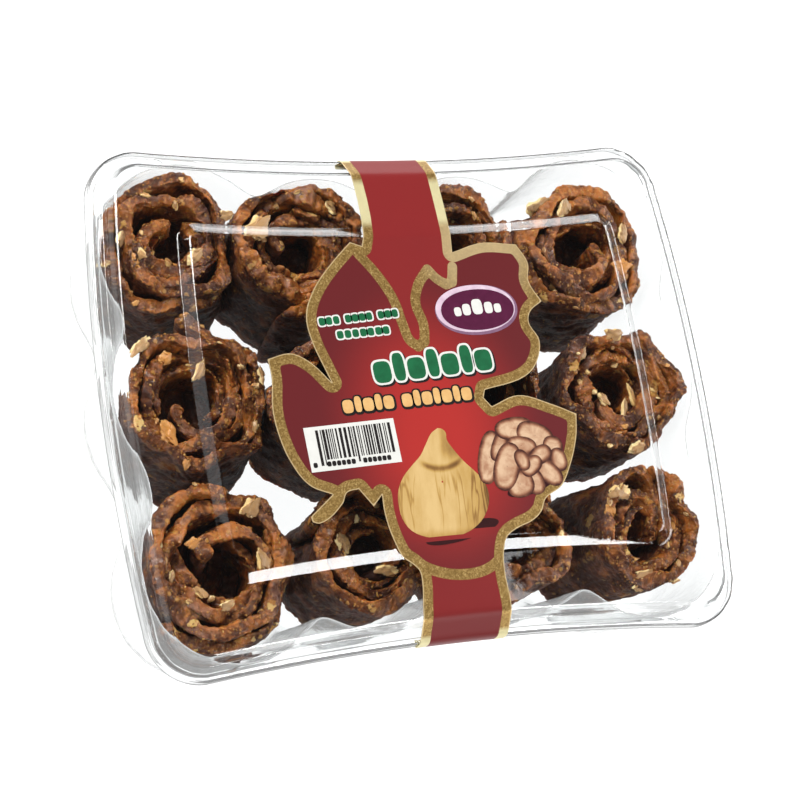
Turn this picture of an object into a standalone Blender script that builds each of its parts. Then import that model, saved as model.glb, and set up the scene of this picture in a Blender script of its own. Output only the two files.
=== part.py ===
"""A shut clear pack of twelve walnut fig rolls, banded over its lid by a leaf-shaped label.

Metres, +Z up, X along the pack's long side. The origin is the middle of the pack's underside.
The tray is a shell with a lobe round each outer roll, under a flat flange. The lid is a shallow
dome with a raised plateau, and its skirt goes over the flange. Each roll is a strip of fig paste
wound into a loose spiral, standing on the tray's floor, with walnut pieces pressed into it.
"""

import math
import random

import bmesh
import bpy
from mathutils import Matrix, Vector, noise

MM = 0.001
GAP = 0.3 * MM
FILM = 0.6 * MM

# Rim: the outline that tray flange and lid share. Long sides bow in, short sides bow out.
RIM_HALF_LENGTH = 95.0 * MM
RIM_HALF_WIDTH = 78.5 * MM
RIM_CORNER = 16.0 * MM
RIM_SAG = 4.0 * MM
RIM_BULGE = 3.3 * MM
RIM_HEIGHT = 45.9 * MM

# Raised plateau of the lid.
PLATEAU_HALF_LENGTH = 68.5 * MM
PLATEAU_HALF_WIDTH = 50.0 * MM
PLATEAU_CORNER = 2.5 * MM
PLATEAU_SAG = 3.0 * MM
PLATEAU_BULGE = 1.7 * MM
PLATEAU_RISE = 8.0 * MM
BEVEL_WIDTH = 3.4 * MM
SHOULDER_RISE = 5.4 * MM
SKIRT_DROP = 4.0 * MM

# Inset from the rim outline and height over the rim, from the skirt's foot to the shoulder.
LID_RINGS = (
    (0.0, -SKIRT_DROP),
    (0.4 * MM, -0.8 * MM),
    (1.2 * MM, 0.0),
    (4.6 * MM, 0.0),
    (6.5 * MM, 4.2 * MM),
    (9.0 * MM, 5.2 * MM),
)

# Tray: flange, and the lobed wall as circles of (centre x, centre y, radius) for its right half.
# The first four stand round the outer rolls, and the rest fill the webs between these.
FLANGE_INSET = 2.2 * MM
FLANGE_TOP = RIM_HEIGHT - FILM - GAP
LOBES = (
    (66.5 * MM, 47.0 * MM, 27.0 * MM),
    (66.5 * MM, -47.0 * MM, 27.0 * MM),
    (65.5 * MM, 4.0 * MM, 29.3 * MM),
    (24.0 * MM, 43.0 * MM, 26.0 * MM),
    (24.0 * MM, -43.0 * MM, 26.0 * MM),
    (62.0 * MM, 26.0 * MM, 25.0 * MM),
    (62.0 * MM, -21.0 * MM, 25.0 * MM),
    (44.0 * MM, 33.0 * MM, 25.0 * MM),
    (44.0 * MM, -33.0 * MM, 25.0 * MM),
    (0.0, 30.0 * MM, 27.0 * MM),
    (0.0, -30.0 * MM, 27.0 * MM),
)
LOBE_BLEND = 2.5 * MM
BISECTIONS = 24
# How far each ring of the wall stands in from the lobes, and its height.
WALL_RINGS = (
    (0.3 * MM, FLANGE_TOP - 1.2 * MM),
    (1.6 * MM, 7.0 * MM),
    (3.2 * MM, 2.0 * MM),
    (6.0 * MM, 0.0),
)
TRAY_SPAN = (18, 24, 5)
LID_SPAN = (6, 10, 4)

# Rolls: row, column, centre of the top ring, half sizes of the ring across X and Y, how far the
# foot stands off from the ring along X and Y (mm), turns, angle of the outer tail (degrees),
# winding (1 anticlockwise), and how much lower the middle is than the ring (mm).
ROLLS = (
    (1, 1, -69.9, 52.2, 19.6, 19.5, 5.0, -3.5, 2.1, 205, 1, 3.0),
    (1, 2, -30.6, 47.9, 21.4, 19.1, 4.0, -3.0, 2.4, 250, -1, 4.0),
    (1, 3, 20.5, 48.8, 20.8, 19.2, 2.0, -3.0, 2.3, 20, 1, 2.0),
    (1, 4, 65.6, 45.6, 20.4, 21.2, 3.0, -2.0, 2.3, 150, -1, 3.0),
    (2, 1, -69.4, 4.2, 22.8, 21.6, 6.0, -5.0, 2.4, 95, 1, 6.0),
    (2, 2, -24.5, 3.0, 21.6, 21.4, 2.0, -3.0, 2.5, 170, -1, 3.0),
    (2, 3, 21.5, 2.6, 21.2, 21.4, 2.0, -3.0, 2.4, 330, 1, 2.0),
    (2, 4, 69.2, -1.2, 21.0, 20.0, 1.0, -1.0, 2.3, 60, 1, 4.0),
    (3, 1, -68.4, -44.2, 22.6, 23.8, 6.0, -2.0, 2.5, 285, -1, 2.5),
    (3, 2, -21.4, -44.8, 20.8, 18.8, 2.0, -1.0, 2.2, 150, 1, 3.0),
    (3, 3, 22.5, -45.0, 20.6, 19.0, 1.0, -1.0, 2.2, 35, -1, 3.0),
    (3, 4, 67.4, -46.6, 17.4, 20.6, -3.0, 2.0, 2.0, 120, 1, 5.0),
)
ROLL_TOP = RIM_HEIGHT - 2.4 * MM
ROLL_FOOT = FILM + 0.9 * MM
ROLL_FOOT_SCALE = 0.82
STRIP = 3.6 * MM
STRIP_STEPS = 36
CORE_SHARE = 0.2
COIL_POWER = 0.52
WAVE_SHARE = 0.02
HOLLOW_POWER = 1.5
RAGGED = 1.1 * MM
RAGGED_PITCH = 9.0

# Walnut pieces: half length, breadth and depth as shares of it, tilt, and how far each is sunk.
NUTS_PER_ROLL = 6
NUT_SIZE = (2.4 * MM, 4.2 * MM)
NUT_BREADTH = (0.5, 0.8)
NUT_DEPTH = (0.45, 0.65)
NUT_TILT = 0.4
NUT_INSET = 2.2 * MM
NUT_SINK = 0.25
NUT_FIRST = 0.12
NUT_LAST = 0.97
NUT_STRAY = 0.7
NUT_SEED = 41

# Label: leaf outline on the plateau, from the top band clockwise down to the bottom band, in mm.
LEAF_RIGHT = (
    (13.4, 41.0), (23.3, 43.7), (35.4, 42.9), (38.3, 36.8), (37.4, 31.0), (40.6, 24.4), (36.0, 21.2),
    (34.9, 18.0), (37.4, 12.0), (34.4, 4.3), (30.0, 0.9), (16.1, -2.4), (15.2, -4.8), (17.4, -7.6),
    (26.8, -4.7), (37.3, -8.0), (45.3, -11.6), (43.8, -18.6), (39.5, -28.1), (35.8, -33.3),
    (29.6, -36.6), (27.2, -41.2), (22.3, -44.2), (17.0, -45.6),
)
LEAF_LEFT = (
    (-21.4, -45.9), (-22.7, -38.5), (-22.4, -31.8), (-25.8, -34.6), (-29.4, -29.4), (-36.3, -30.2),
    (-44.2, -27.2), (-48.8, -20.0), (-51.2, -11.6), (-51.8, -4.4), (-50.6, 5.0), (-50.9, 10.6),
    (-43.6, 11.9), (-38.2, 9.1), (-32.4, 2.6), (-34.0, 7.2), (-36.4, 14.8), (-37.2, 21.4),
    (-36.2, 25.8), (-32.5, 32.2), (-26.6, 38.7), (-19.5, 45.2), (-15.8, 43.8),
)
BAND_TOP = (-14.6 * MM, 13.9 * MM)
BAND_BOTTOM = (-16.2 * MM, 12.0 * MM)
BAND_STEPS = 4
LABEL = 0.3 * MM
LABEL_TUCK = 3.0 * MM

MODEL = "walnut fig rolls in a clear pack"


def clear_scene():
    for item in list(bpy.data.objects):
        bpy.data.objects.remove(item, do_unlink=True)


def make_collection(name):
    collection = bpy.data.collections.new(name)
    bpy.context.scene.collection.children.link(collection)
    return collection


def make_material(name, colour, roughness, metallic=0.0, alpha=1.0):
    material = bpy.data.materials.new(name)
    material.use_nodes = True
    shader = material.node_tree.nodes["Principled BSDF"]
    shader.inputs["Base Color"].default_value = (*colour, 1.0)
    shader.inputs["Roughness"].default_value = roughness
    shader.inputs["Metallic"].default_value = metallic
    shader.inputs["Alpha"].default_value = alpha
    return material


def add_object(name, mesh_builder, collection, material):
    """Turns a bmesh into a named object."""
    mesh = bpy.data.meshes.new(name)
    mesh_builder.to_mesh(mesh)
    mesh_builder.free()
    mesh.materials.append(material)
    item = bpy.data.objects.new(name, mesh)
    collection.objects.link(item)
    return item


def add_solidify(item, thickness, offset):
    """Gives an open surface its thickness: offset -1 grows it against its normals."""
    solid = item.modifiers.new("wall", "SOLIDIFY")
    solid.thickness = thickness
    solid.offset = offset
    return solid


def settle(item):
    """Applies an object's modifiers."""
    graph = bpy.context.evaluated_depsgraph_get()
    mesh = bpy.data.meshes.new_from_object(item.evaluated_get(graph))
    item.modifiers.clear()
    item.data = mesh


def bowed_outline(half_x, half_y, corner, sag, bulge, span):
    """Points round a box with bowed sides and round corners, anticlockwise from its right side."""
    side_steps, long_steps, corner_steps = span
    flat_x = half_x - corner
    flat_y = half_y - corner
    points = []

    def side(steps, place):
        for step in range(steps):
            share = 2.0 * step / steps - 1.0
            points.append(place(share, 1.0 - share * share))

    def turn(centre_x, centre_y, start):
        for step in range(corner_steps):
            angle = start + 0.5 * math.pi * step / corner_steps
            arm = Vector((math.cos(angle), math.sin(angle))) * corner
            points.append(Vector((centre_x, centre_y)) + arm)

    side(side_steps, lambda share, bow: Vector((half_x + bulge * bow, share * flat_y)))
    turn(flat_x, flat_y, 0.0)
    side(long_steps, lambda share, bow: Vector((-share * flat_x, half_y - sag * bow)))
    turn(-flat_x, flat_y, 0.5 * math.pi)
    side(side_steps, lambda share, bow: Vector((-half_x - bulge * bow, -share * flat_y)))
    turn(-flat_x, -flat_y, math.pi)
    side(long_steps, lambda share, bow: Vector((share * flat_x, -half_y + sag * bow)))
    turn(flat_x, -flat_y, 1.5 * math.pi)
    return points


def rim_outline(inset, span):
    return bowed_outline(RIM_HALF_LENGTH - inset, RIM_HALF_WIDTH - inset, RIM_CORNER - inset,
                         RIM_SAG, RIM_BULGE, span)


def plateau_outline(outset, span):
    return bowed_outline(PLATEAU_HALF_LENGTH + outset, PLATEAU_HALF_WIDTH + outset,
                         PLATEAU_CORNER + outset, PLATEAU_SAG, PLATEAU_BULGE, span)


def lobe_circles():
    """The lobes of both halves."""
    return list(LOBES) + [(-x, y, radius) for x, y, radius in LOBES if x > 0]


def lobe_distance(point, circles):
    """Smooth distance outside the circles, negative inside."""
    total = 0.0
    for x, y, radius in circles:
        total += math.exp((radius - math.hypot(point.x - x, point.y - y)) / LOBE_BLEND)
    return -LOBE_BLEND * math.log(total)


def lobe_outline(inset, directions, circles):
    """The lobed outline met by a ray from the middle towards each point of the rim."""
    points = []
    for aim in directions:
        inner, outer = 0.5, 1.05
        for _ in range(BISECTIONS):
            middle = 0.5 * (inner + outer)
            if lobe_distance(aim * middle, circles) < -inset:
                inner = middle
            else:
                outer = middle
        points.append(aim * inner)
    return points


def loft(rings, cap_last):
    """A surface through rings of (points, height), with a flat cap on the last one."""
    builder = bmesh.new()
    loops = [[builder.verts.new((p.x, p.y, height)) for p in points] for points, height in rings]
    for lower, upper in zip(loops, loops[1:]):
        for index in range(len(lower)):
            after = (index + 1) % len(lower)
            builder.faces.new((lower[index], lower[after], upper[after], upper[index]))
    if cap_last:
        builder.faces.new(loops[-1])
    builder.normal_update()
    bmesh.ops.triangulate(builder, faces=[f for f in builder.faces if len(f.verts) > 4])
    return builder


def build_tray(collection):
    """Flange and lobed wall down to the flat floor, with the wall inside the outer surface."""
    material = make_material("clear tray", (0.93, 0.95, 0.95), 0.06, alpha=0.25)
    directions = rim_outline(0.0, TRAY_SPAN)
    circles = lobe_circles()
    rings = [(lobe_outline(inset, directions, circles), height) for inset, height in reversed(WALL_RINGS)]
    rings.append((lobe_outline(0.0, directions, circles), FLANGE_TOP - FILM))
    rings.append((rim_outline(FLANGE_INSET, TRAY_SPAN), FLANGE_TOP - FILM))
    rings.reverse()
    item = add_object("tray", loft(rings, cap_last=True), collection, material)
    item.data.flip_normals()
    add_solidify(item, FILM, -1.0)
    return item


def lid_rings():
    """The lid's outer surface from the skirt's foot up to the plateau's edge."""
    rings = [(rim_outline(inset, LID_SPAN), RIM_HEIGHT + height) for inset, height in LID_RINGS]
    rings.append((plateau_outline(BEVEL_WIDTH, LID_SPAN), RIM_HEIGHT + SHOULDER_RISE))
    rings.append((plateau_outline(0.0, LID_SPAN), RIM_HEIGHT + PLATEAU_RISE))
    return rings


def build_lid(collection):
    material = make_material("clear lid", (0.94, 0.96, 0.96), 0.04, alpha=0.2)
    item = add_object("lid", loft(lid_rings(), cap_last=True), collection, material)
    add_solidify(item, FILM, -1.0)
    return item


def lid_profile(sign):
    """The lid's section at X = 0, from the plateau's edge down to the skirt's foot."""
    profile = []
    for points, height in reversed(lid_rings()):
        near = min((p for p in points if p.y * sign > 0), key=lambda p: abs(p.x))
        profile.append(Vector((near.y, height)))
    return profile


def offset_profile(profile, distance, sign):
    """The profile moved off the lid along its own normals."""
    moved = []
    for index, point in enumerate(profile):
        before = profile[max(index - 1, 0)]
        after = profile[min(index + 1, len(profile) - 1)]
        along = (after - before).normalized()
        normal = Vector((-along.y, along.x)) * -sign
        if normal.x * sign < 0:
            normal = -normal
        moved.append(point + normal * distance)
    return moved


def band_rows(sign, edges):
    """Rows of points across the band, from the plateau's edge over the rim and under the skirt."""
    left, right = edges
    rows = []
    profile = offset_profile(lid_profile(sign), GAP, sign)
    profile[0] = Vector((profile[0].x - sign * GAP, RIM_HEIGHT + PLATEAU_RISE + GAP))
    foot = profile[-1] + Vector((0.0, -GAP))
    profile[-1] = foot
    profile.append(foot + Vector((-sign * LABEL_TUCK, -GAP)))
    for y, z in profile:
        across = [left + (right - left) * step / BAND_STEPS for step in range(BAND_STEPS + 1)]
        rows.append([Vector((x, y, z)) for x in across])
    return rows


def build_label(collection):
    """The leaf lies on the plateau, and its band runs over the rim on both long sides."""
    material = make_material("label", (0.42, 0.03, 0.04), 0.35)
    builder = bmesh.new()
    height = RIM_HEIGHT + PLATEAU_RISE + GAP
    top = [[builder.verts.new(p) for p in row] for row in band_rows(1, BAND_TOP)]
    bottom = [[builder.verts.new(p) for p in row] for row in band_rows(-1, BAND_BOTTOM)]
    right = [builder.verts.new((x * MM, y * MM, height)) for x, y in LEAF_RIGHT]
    left = [builder.verts.new((x * MM, y * MM, height)) for x, y in LEAF_LEFT]
    outline = top[0] + right + bottom[0][::-1] + left
    leaf = builder.faces.new(outline[::-1])
    for rows, turned in ((top, False), (bottom, True)):
        for near, far in zip(rows, rows[1:]):
            for step in range(BAND_STEPS):
                corners = (near[step], near[step + 1], far[step + 1], far[step])
                builder.faces.new(corners[::-1] if turned else corners)
    builder.normal_update()
    bmesh.ops.triangulate(builder, faces=[leaf])
    item = add_object("label", builder, collection, material)
    add_solidify(item, LABEL, 1.0)
    return item


def strip_point(roll, share):
    """Middle of the strip in plan at a share of its length from the core, and its angle."""
    _, _, x, y, half_x, half_y, _, _, turns, tail, winding, _ = roll
    angle = math.radians(tail) - winding * turns * 2.0 * math.pi * (1.0 - share)
    phase = x + y
    reach = CORE_SHARE + (1.0 - CORE_SHARE) * share ** COIL_POWER
    reach *= 1.0 + WAVE_SHARE * math.sin(3.0 * angle + phase)
    across = (half_x * MM - 0.5 * STRIP) * reach
    along = (half_y * MM - 0.5 * STRIP) * reach
    return Vector((across * math.cos(angle), along * math.sin(angle)))


def strip_top(roll, share):
    """Height of the strip's ragged upper edge."""
    x, y, hollow = roll[2], roll[3], roll[-1]
    rough = noise.noise(Vector((share * RAGGED_PITCH, x, y))) * RAGGED
    return ROLL_TOP - hollow * MM * (1.0 - share) ** HOLLOW_POWER + rough


def build_strip(roll, builder):
    """The open spiral ribbon, tapering towards its foot."""
    centre = Vector((roll[2] * MM, roll[3] * MM))
    lean = Vector((roll[6] * MM, roll[7] * MM))
    rows = []
    for step in range(STRIP_STEPS + 1):
        share = step / STRIP_STEPS
        place = strip_point(roll, share)
        top = strip_top(roll, share)
        upper = centre + place
        foot = centre + lean + place * ROLL_FOOT_SCALE
        rows.append((builder.verts.new((*foot, ROLL_FOOT)), builder.verts.new((*upper, top))))
    for (near_foot, near_top), (far_foot, far_top) in zip(rows, rows[1:]):
        builder.faces.new((near_foot, far_foot, far_top, near_top))


def add_nut(roll, index, draw, collection):
    """One broken walnut piece, sunk by half into the strip's upper edge."""
    share = NUT_FIRST + (NUT_LAST - NUT_FIRST) * (index + draw.random() * NUT_STRAY) / NUTS_PER_ROLL
    place = strip_point(roll, share)
    place -= place.normalized() * NUT_INSET
    size = draw.uniform(*NUT_SIZE)
    height = strip_top(roll, share) - NUT_SINK * size
    centre = Vector((roll[2] * MM + place.x, roll[3] * MM + place.y, height))
    builder = bmesh.new()
    bmesh.ops.create_icosphere(builder, subdivisions=1, radius=1.0)
    breadth = size * draw.uniform(*NUT_BREADTH)
    depth = size * draw.uniform(*NUT_DEPTH)
    turn = Matrix.Rotation(draw.uniform(0.0, math.pi), 4, "Z")
    tilt = Matrix.Rotation(draw.uniform(-NUT_TILT, NUT_TILT), 4, "X")
    builder.transform(Matrix.Translation(centre) @ turn @ tilt @ Matrix.Diagonal((size, breadth, depth, 1.0)))
    mesh = bpy.data.meshes.new("nut")
    builder.to_mesh(mesh)
    builder.free()
    nut = bpy.data.objects.new("nut", mesh)
    collection.objects.link(nut)


def join_nuts(item, toppings):
    """Fuses the walnut pieces with the strip and removes their own objects."""
    union = item.modifiers.new("nuts", "BOOLEAN")
    union.operation = "UNION"
    union.operand_type = "COLLECTION"
    union.collection = toppings
    settle(item)
    for nut in list(toppings.objects):
        bpy.data.objects.remove(nut, do_unlink=True)


def build_roll(roll, collection, toppings):
    row, column = roll[:2]
    name = f"roll_r{row}c{column}"
    shade = 0.8 + 0.1 * ((row * 5 + column * 3) % 4)
    material = make_material(name, (0.26 * shade, 0.085 * shade, 0.022 * shade), 0.38)
    builder = bmesh.new()
    build_strip(roll, builder)
    item = add_object(name, builder, collection, material)
    add_solidify(item, STRIP, 0.0)
    draw = random.Random(NUT_SEED + 10 * row + column)
    for index in range(NUTS_PER_ROLL):
        add_nut(roll, index, draw, toppings)
    join_nuts(item, toppings)
    return item


def main():
    clear_scene()
    collection = make_collection(MODEL)
    toppings = make_collection("walnut pieces")
    build_tray(collection)
    build_lid(collection)
    build_label(collection)
    for roll in ROLLS:
        build_roll(roll, collection, toppings)


main()
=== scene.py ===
"""A shut clear pack of walnut fig rolls, dressed for a product picture.

The pack is a lobed tray under a domed lid, banded by a leaf-shaped paper label. Twelve spiral rolls
of fig paste stand in it, with seeds and walnut pieces. Metres, +Z up, X along the pack's long side.
"""

import math
import random
from collections import namedtuple
from functools import partial

import bpy
import numpy as np
from bpy.props import FloatProperty, FloatVectorProperty, IntProperty, PointerProperty
from mathutils import Matrix, Vector
from mathutils.geometry import delaunay_2d_cdt


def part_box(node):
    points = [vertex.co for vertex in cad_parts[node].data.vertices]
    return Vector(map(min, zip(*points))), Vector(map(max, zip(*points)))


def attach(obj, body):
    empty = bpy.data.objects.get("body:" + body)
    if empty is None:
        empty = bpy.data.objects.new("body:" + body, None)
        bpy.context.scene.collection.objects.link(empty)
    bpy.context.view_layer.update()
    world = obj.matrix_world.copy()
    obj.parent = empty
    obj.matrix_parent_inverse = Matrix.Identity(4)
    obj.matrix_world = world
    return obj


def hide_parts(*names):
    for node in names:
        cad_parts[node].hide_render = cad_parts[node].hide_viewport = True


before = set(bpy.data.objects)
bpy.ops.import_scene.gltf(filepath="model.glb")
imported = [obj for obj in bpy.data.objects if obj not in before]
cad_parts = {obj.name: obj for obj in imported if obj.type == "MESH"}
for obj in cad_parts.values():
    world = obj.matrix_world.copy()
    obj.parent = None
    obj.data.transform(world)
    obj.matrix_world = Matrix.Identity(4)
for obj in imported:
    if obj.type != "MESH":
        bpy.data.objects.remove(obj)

bl_info = {
    "name": "Walnut fig rolls in a clear pack",
    "version": (1, 0, 0),
    "blender": (4, 5, 0),
    "location": "View3D > Sidebar > Fig Pack",
    "description": "Models a shut clear pack of walnut fig rolls with a leaf-shaped paper label",
    "category": "Add Mesh",
}

MM = 0.001
HAIR = 0.01 * MM
FULL_TURN = 2.0 * math.pi
# Waves in each smooth random field, and its gain.
DRIFT_WAVES = 5
DRIFT_GAIN = 1.4

# Rim and plateau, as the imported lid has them. Long sides bow in, short sides bow out.
LID_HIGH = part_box("lid")[1]
RIM_BULGE = 3.3 * MM
RIM_SAG = 4.0 * MM
RIM_CORNER = 16.0 * MM
RIM_HALF_LENGTH = LID_HIGH.x - RIM_BULGE
RIM_HALF_WIDTH = LID_HIGH.y
PLATEAU_RISE = 8.0 * MM
PLATEAU_TOP = LID_HIGH.z
RIM_HEIGHT = PLATEAU_TOP - PLATEAU_RISE
PLATEAU_HALF_LENGTH = 68.5 * MM
PLATEAU_HALF_WIDTH = 50.0 * MM
PLATEAU_CORNER = 2.5 * MM
PLATEAU_SAG = 3.0 * MM
PLATEAU_BULGE = 1.7 * MM
WALL = 0.6 * MM

# Lid: inset from the rim outline and height over the rim (mm), from the skirt's foot to the shoulder.
LID_LINES = (
    (0.0, -4.0), (0.02, -3.4), (0.25, -1.6), (0.5, -0.7), (0.9, -0.2), (1.5, 0.0), (2.1, 0.02),
    (2.5, -0.28), (2.9, -0.32), (3.3, -0.02), (4.1, 0.05), (4.5, 0.3), (4.9, 1.2), (5.6, 3.0),
    (6.0, 3.9), (6.5, 4.5), (7.4, 4.9), (9.0, 5.2),
)
# Outset from the plateau's outline and height over the rim (mm), from the bevel's foot up.
BEVEL_LINES = (
    (4.2, 5.36), (3.5, 5.42), (3.2, 5.6), (3.05, 5.72), (0.6, 7.48), (0.4, 7.61), (0.15, 7.76),
    (-0.15, 7.9), (-0.6, 7.98), (-1.0, 8.0),
)

# Tray: how far the wall stands in from the lobes and its height (mm), from the floor up.
TRAY_LINES = (
    (6.0, 0.0), (5.2, 0.25), (4.2, 1.0), (3.2, 2.0), (2.5, 3.4), (1.95, 5.0), (1.6, 7.0), (1.5, 9.0),
    (1.35, 13.0), (1.2, 17.0), (1.05, 21.0), (0.9, 25.0), (0.75, 29.0), (0.65, 33.0), (0.55, 37.0),
    (0.45, 40.5), (0.3, 43.2), (0.1, 44.1),
)
FLANGE_INSET = 2.2 * MM
FLANGE_TOP = RIM_HEIGHT - 0.9 * MM
FLANGE_REACH = 2.0 * MM
LOBES = (
    (66.5, 47.0, 27.0), (66.5, -47.0, 27.0), (65.5, 4.0, 29.3), (24.0, 43.0, 26.0),
    (24.0, -43.0, 26.0), (62.0, 26.0, 25.0), (62.0, -21.0, 25.0), (44.0, 33.0, 25.0),
    (44.0, -33.0, 25.0), (0.0, 30.0, 27.0), (0.0, -30.0, 27.0),
)
LOBE_BLEND = 2.5 * MM
LOBE_SEARCH = 26
# Unevenness of the tray's walls: pitch and depth of its waves (mm).
TRAY_WAVES = ((14.0, 0.25), (5.0, 0.12))
# Crinkles round the rim's corners: waves a turn, where they start, and their shares.
CRINKLES = ((22.0, 0.0, 0.5), (37.0, 1.0, 0.35))
CRINKLE_DEPTH = 0.45 * MM
CRINKLE_START, CRINKLE_SPAN = 1.62, 0.14
RIM_SPAN = (70, 90, 18)

# Rolls: row, column, centre of the top ring, half sizes of the ring across X and Y, how far the
# foot stands off from the ring along X and Y (mm), turns, angle of the outer tail (degrees),
# winding (1 anticlockwise), and how much lower the middle is than the ring (mm).
Roll = namedtuple("Roll", "row column x y half_x half_y foot_x foot_y turns tail winding hollow")
ROLLS = [Roll(*values) for values in (
    (1, 1, -69.9, 52.2, 20.2, 20.2, 5.0, -3.5, 2.7, 335, 1, 3.0),
    (1, 2, -30.6, 49.2, 22.2, 20.8, 4.0, -3.0, 2.8, 250, -1, 4.0),
    (1, 3, 20.5, 48.8, 20.8, 19.2, 2.0, -3.0, 2.6, 20, 1, 2.0),
    (1, 4, 65.6, 45.6, 20.4, 21.2, 3.0, -2.0, 2.6, 150, -1, 3.0),
    (2, 1, -69.4, 4.2, 22.8, 21.6, 6.0, -5.0, 2.7, 95, 1, 6.0),
    (2, 2, -24.3, 3.0, 20.8, 21.4, 5.0, -3.0, 2.5, 170, -1, 3.0),
    (2, 3, 21.5, 2.6, 21.2, 21.4, 2.0, -3.0, 2.4, 330, 1, 2.0),
    (2, 4, 69.2, -1.2, 21.0, 20.0, 1.0, -1.0, 2.6, 60, 1, 4.0),
    (3, 1, -68.4, -44.2, 23.0, 24.2, 6.0, -2.0, 2.9, 218, -1, 2.5),
    (3, 2, -21.4, -44.8, 20.8, 18.8, 2.0, -1.0, 2.6, 150, 1, 3.0),
    (3, 3, 22.5, -45.0, 20.6, 19.0, 1.0, -1.0, 2.5, 35, -1, 3.0),
    (3, 4, 69.2, -46.6, 15.6, 20.4, -8.0, 1.0, 2.3, 70, 1, 5.0),
)]
# How far the outer tail of some rolls has slipped down (mm).
TAIL_DROPS = {(1, 1): 6.5, (3, 1): 7.0, (1, 4): 2.5, (2, 1): 3.0}
# Loose leaves of paste inside each roll: where they start and stop along the strip (shares), how far
# they stand in from it, how much lower they end and how thick they are (mm).
LEAVES = ((0.33, 0.56, 3.2, 3.4, 3.0), (0.06, 0.27, 2.8, 5.0, 2.6))
ROLL_TOP = RIM_HEIGHT - 2.4 * MM
ROLL_FOOT = 1.5 * MM
ROLL_FOOT_SCALE = 0.99
ROLL_LOWEST = 1.1 * MM
LID_CLEARANCE = 2.0 * MM
# The spiral in plan: how far it stays within the roll's size (mm), the core's share of its reach, how
# the reach grows along the strip, and the share of its waves.
SPIRAL_MARGIN = 0.9
CORE_SHARE = 0.2
COIL_POWER = 0.52
WAVE_SHARE = 0.02
SPIRAL_SAMPLES = 3000
HOLLOW_POWER = 1.5
# The strip's outer end falls off steeply, and its tail slips over a stretch before it (shares).
END_DROP, END_SHARE = 3.0 * MM, 0.04
SLIP_START, SLIP_SPAN = 0.74, 0.12
# Steps along the strip and rows round its section, with the powers that set the rows closer above.
STRIP_STEPS = 500
OUTER_ROWS, OUTER_POWER = 40, 1.45
EDGE_ROWS, EDGE_POWER = 11, 0.62
INNER_ROWS, INNER_POWER = 28, 1.7
EDGE_ROUND = 0.9 * MM
RANDOM_START = 41
PASTE_MARKS = ("cut", "relief", "depth", "inner", "warm")
# Raggedness of a strip's upper edge: pitch and height of its waves (mm).
EDGE_WAVES = ((26.0, 2.4), (7.5, 1.0), (2.6, 0.45))
# How a strip strays from its line: pitch and depth of its sway, of the outward flare of its upper
# part, of its bow, and of the slant of its upper edge (mm).
SWAY_PITCH, SWAY_DEPTH = 26.0 * MM, 0.8 * MM
FLARE_PITCH, FLARE_DEPTH, FLARE_OUT = 19.0 * MM, 2.2, 0.6
FLARE_START, FLARE_SPAN, FLARE_POWER = 0.55, 0.45, 1.5
BOW_PITCH, BOW_DEPTH = 30.0 * MM, 1.0
SLANT_PITCH, SLANT_DEPTH, SLANT_IN = 15.0 * MM, 1.2, 0.6
# How the strip's thickness varies: along it and over its faces (pitch, share), and its thinnest share.
LONG_BULGE, FACE_BULGE = (14.0 * MM, 0.4), (8.0 * MM, 0.25)
THINNEST = 0.22
# How long a strip's ends taper (mm), for the wound strip and for its loose leaves.
STRIP_TAPER, LEAF_TAPER = 2.2 * MM, 5.0 * MM
# What the paste's materials read: how far the cut edge reaches down, and how relief is scaled.
CUT_REACH = 2.0 * MM
RELIEF_DEPTH = 0.3 * MM
RELIEF_BLUR = 6
# Relief pressed into a strip: kind, size and depth (mm), level that stays put, and where.
STRIP_RELIEFS = (
    ("CLOUDS", 5.0, 1.3, 0.5, ""), ("CLOUDS", 1.6, 0.9, 0.5, ""), ("VORONOI", 1.3, -0.7, 0.35, "cut_edge"),
    ("VORONOI", 1.0, -0.35, 0.35, ""),
)
# Plug of paste low down in each roll: its height, the dip in its middle and its unevenness, its
# breadth as a share of the roll's, and its steps round and across.
PLUG_TOP, PLUG_DIP, PLUG_WAVE = 25.0 * MM, 5.0 * MM, 2.5 * MM
PLUG_SHARE = 0.72
PLUG_STEPS = (48, 12)
# Seeds and walnut chips: their sizes (mm) and the chips' kinds, flat breaks and fineness.
SEED_SIZES = (0.24, 0.5)
CHIP_SIZES = (0.9, 2.4)
CHIP_KINDS = 6
CHIP_BREAKS = 9
BIG_CHIP_VOXEL, SMALL_CHIP_VOXEL = 0.125, 0.19
CHIP_RELIEFS = (("CLOUDS", 0.55, 0.62, 0.5), ("VORONOI", 0.4, -0.22, 0.3), ("CLOUDS", 0.18, 0.12, 0.5))

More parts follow.
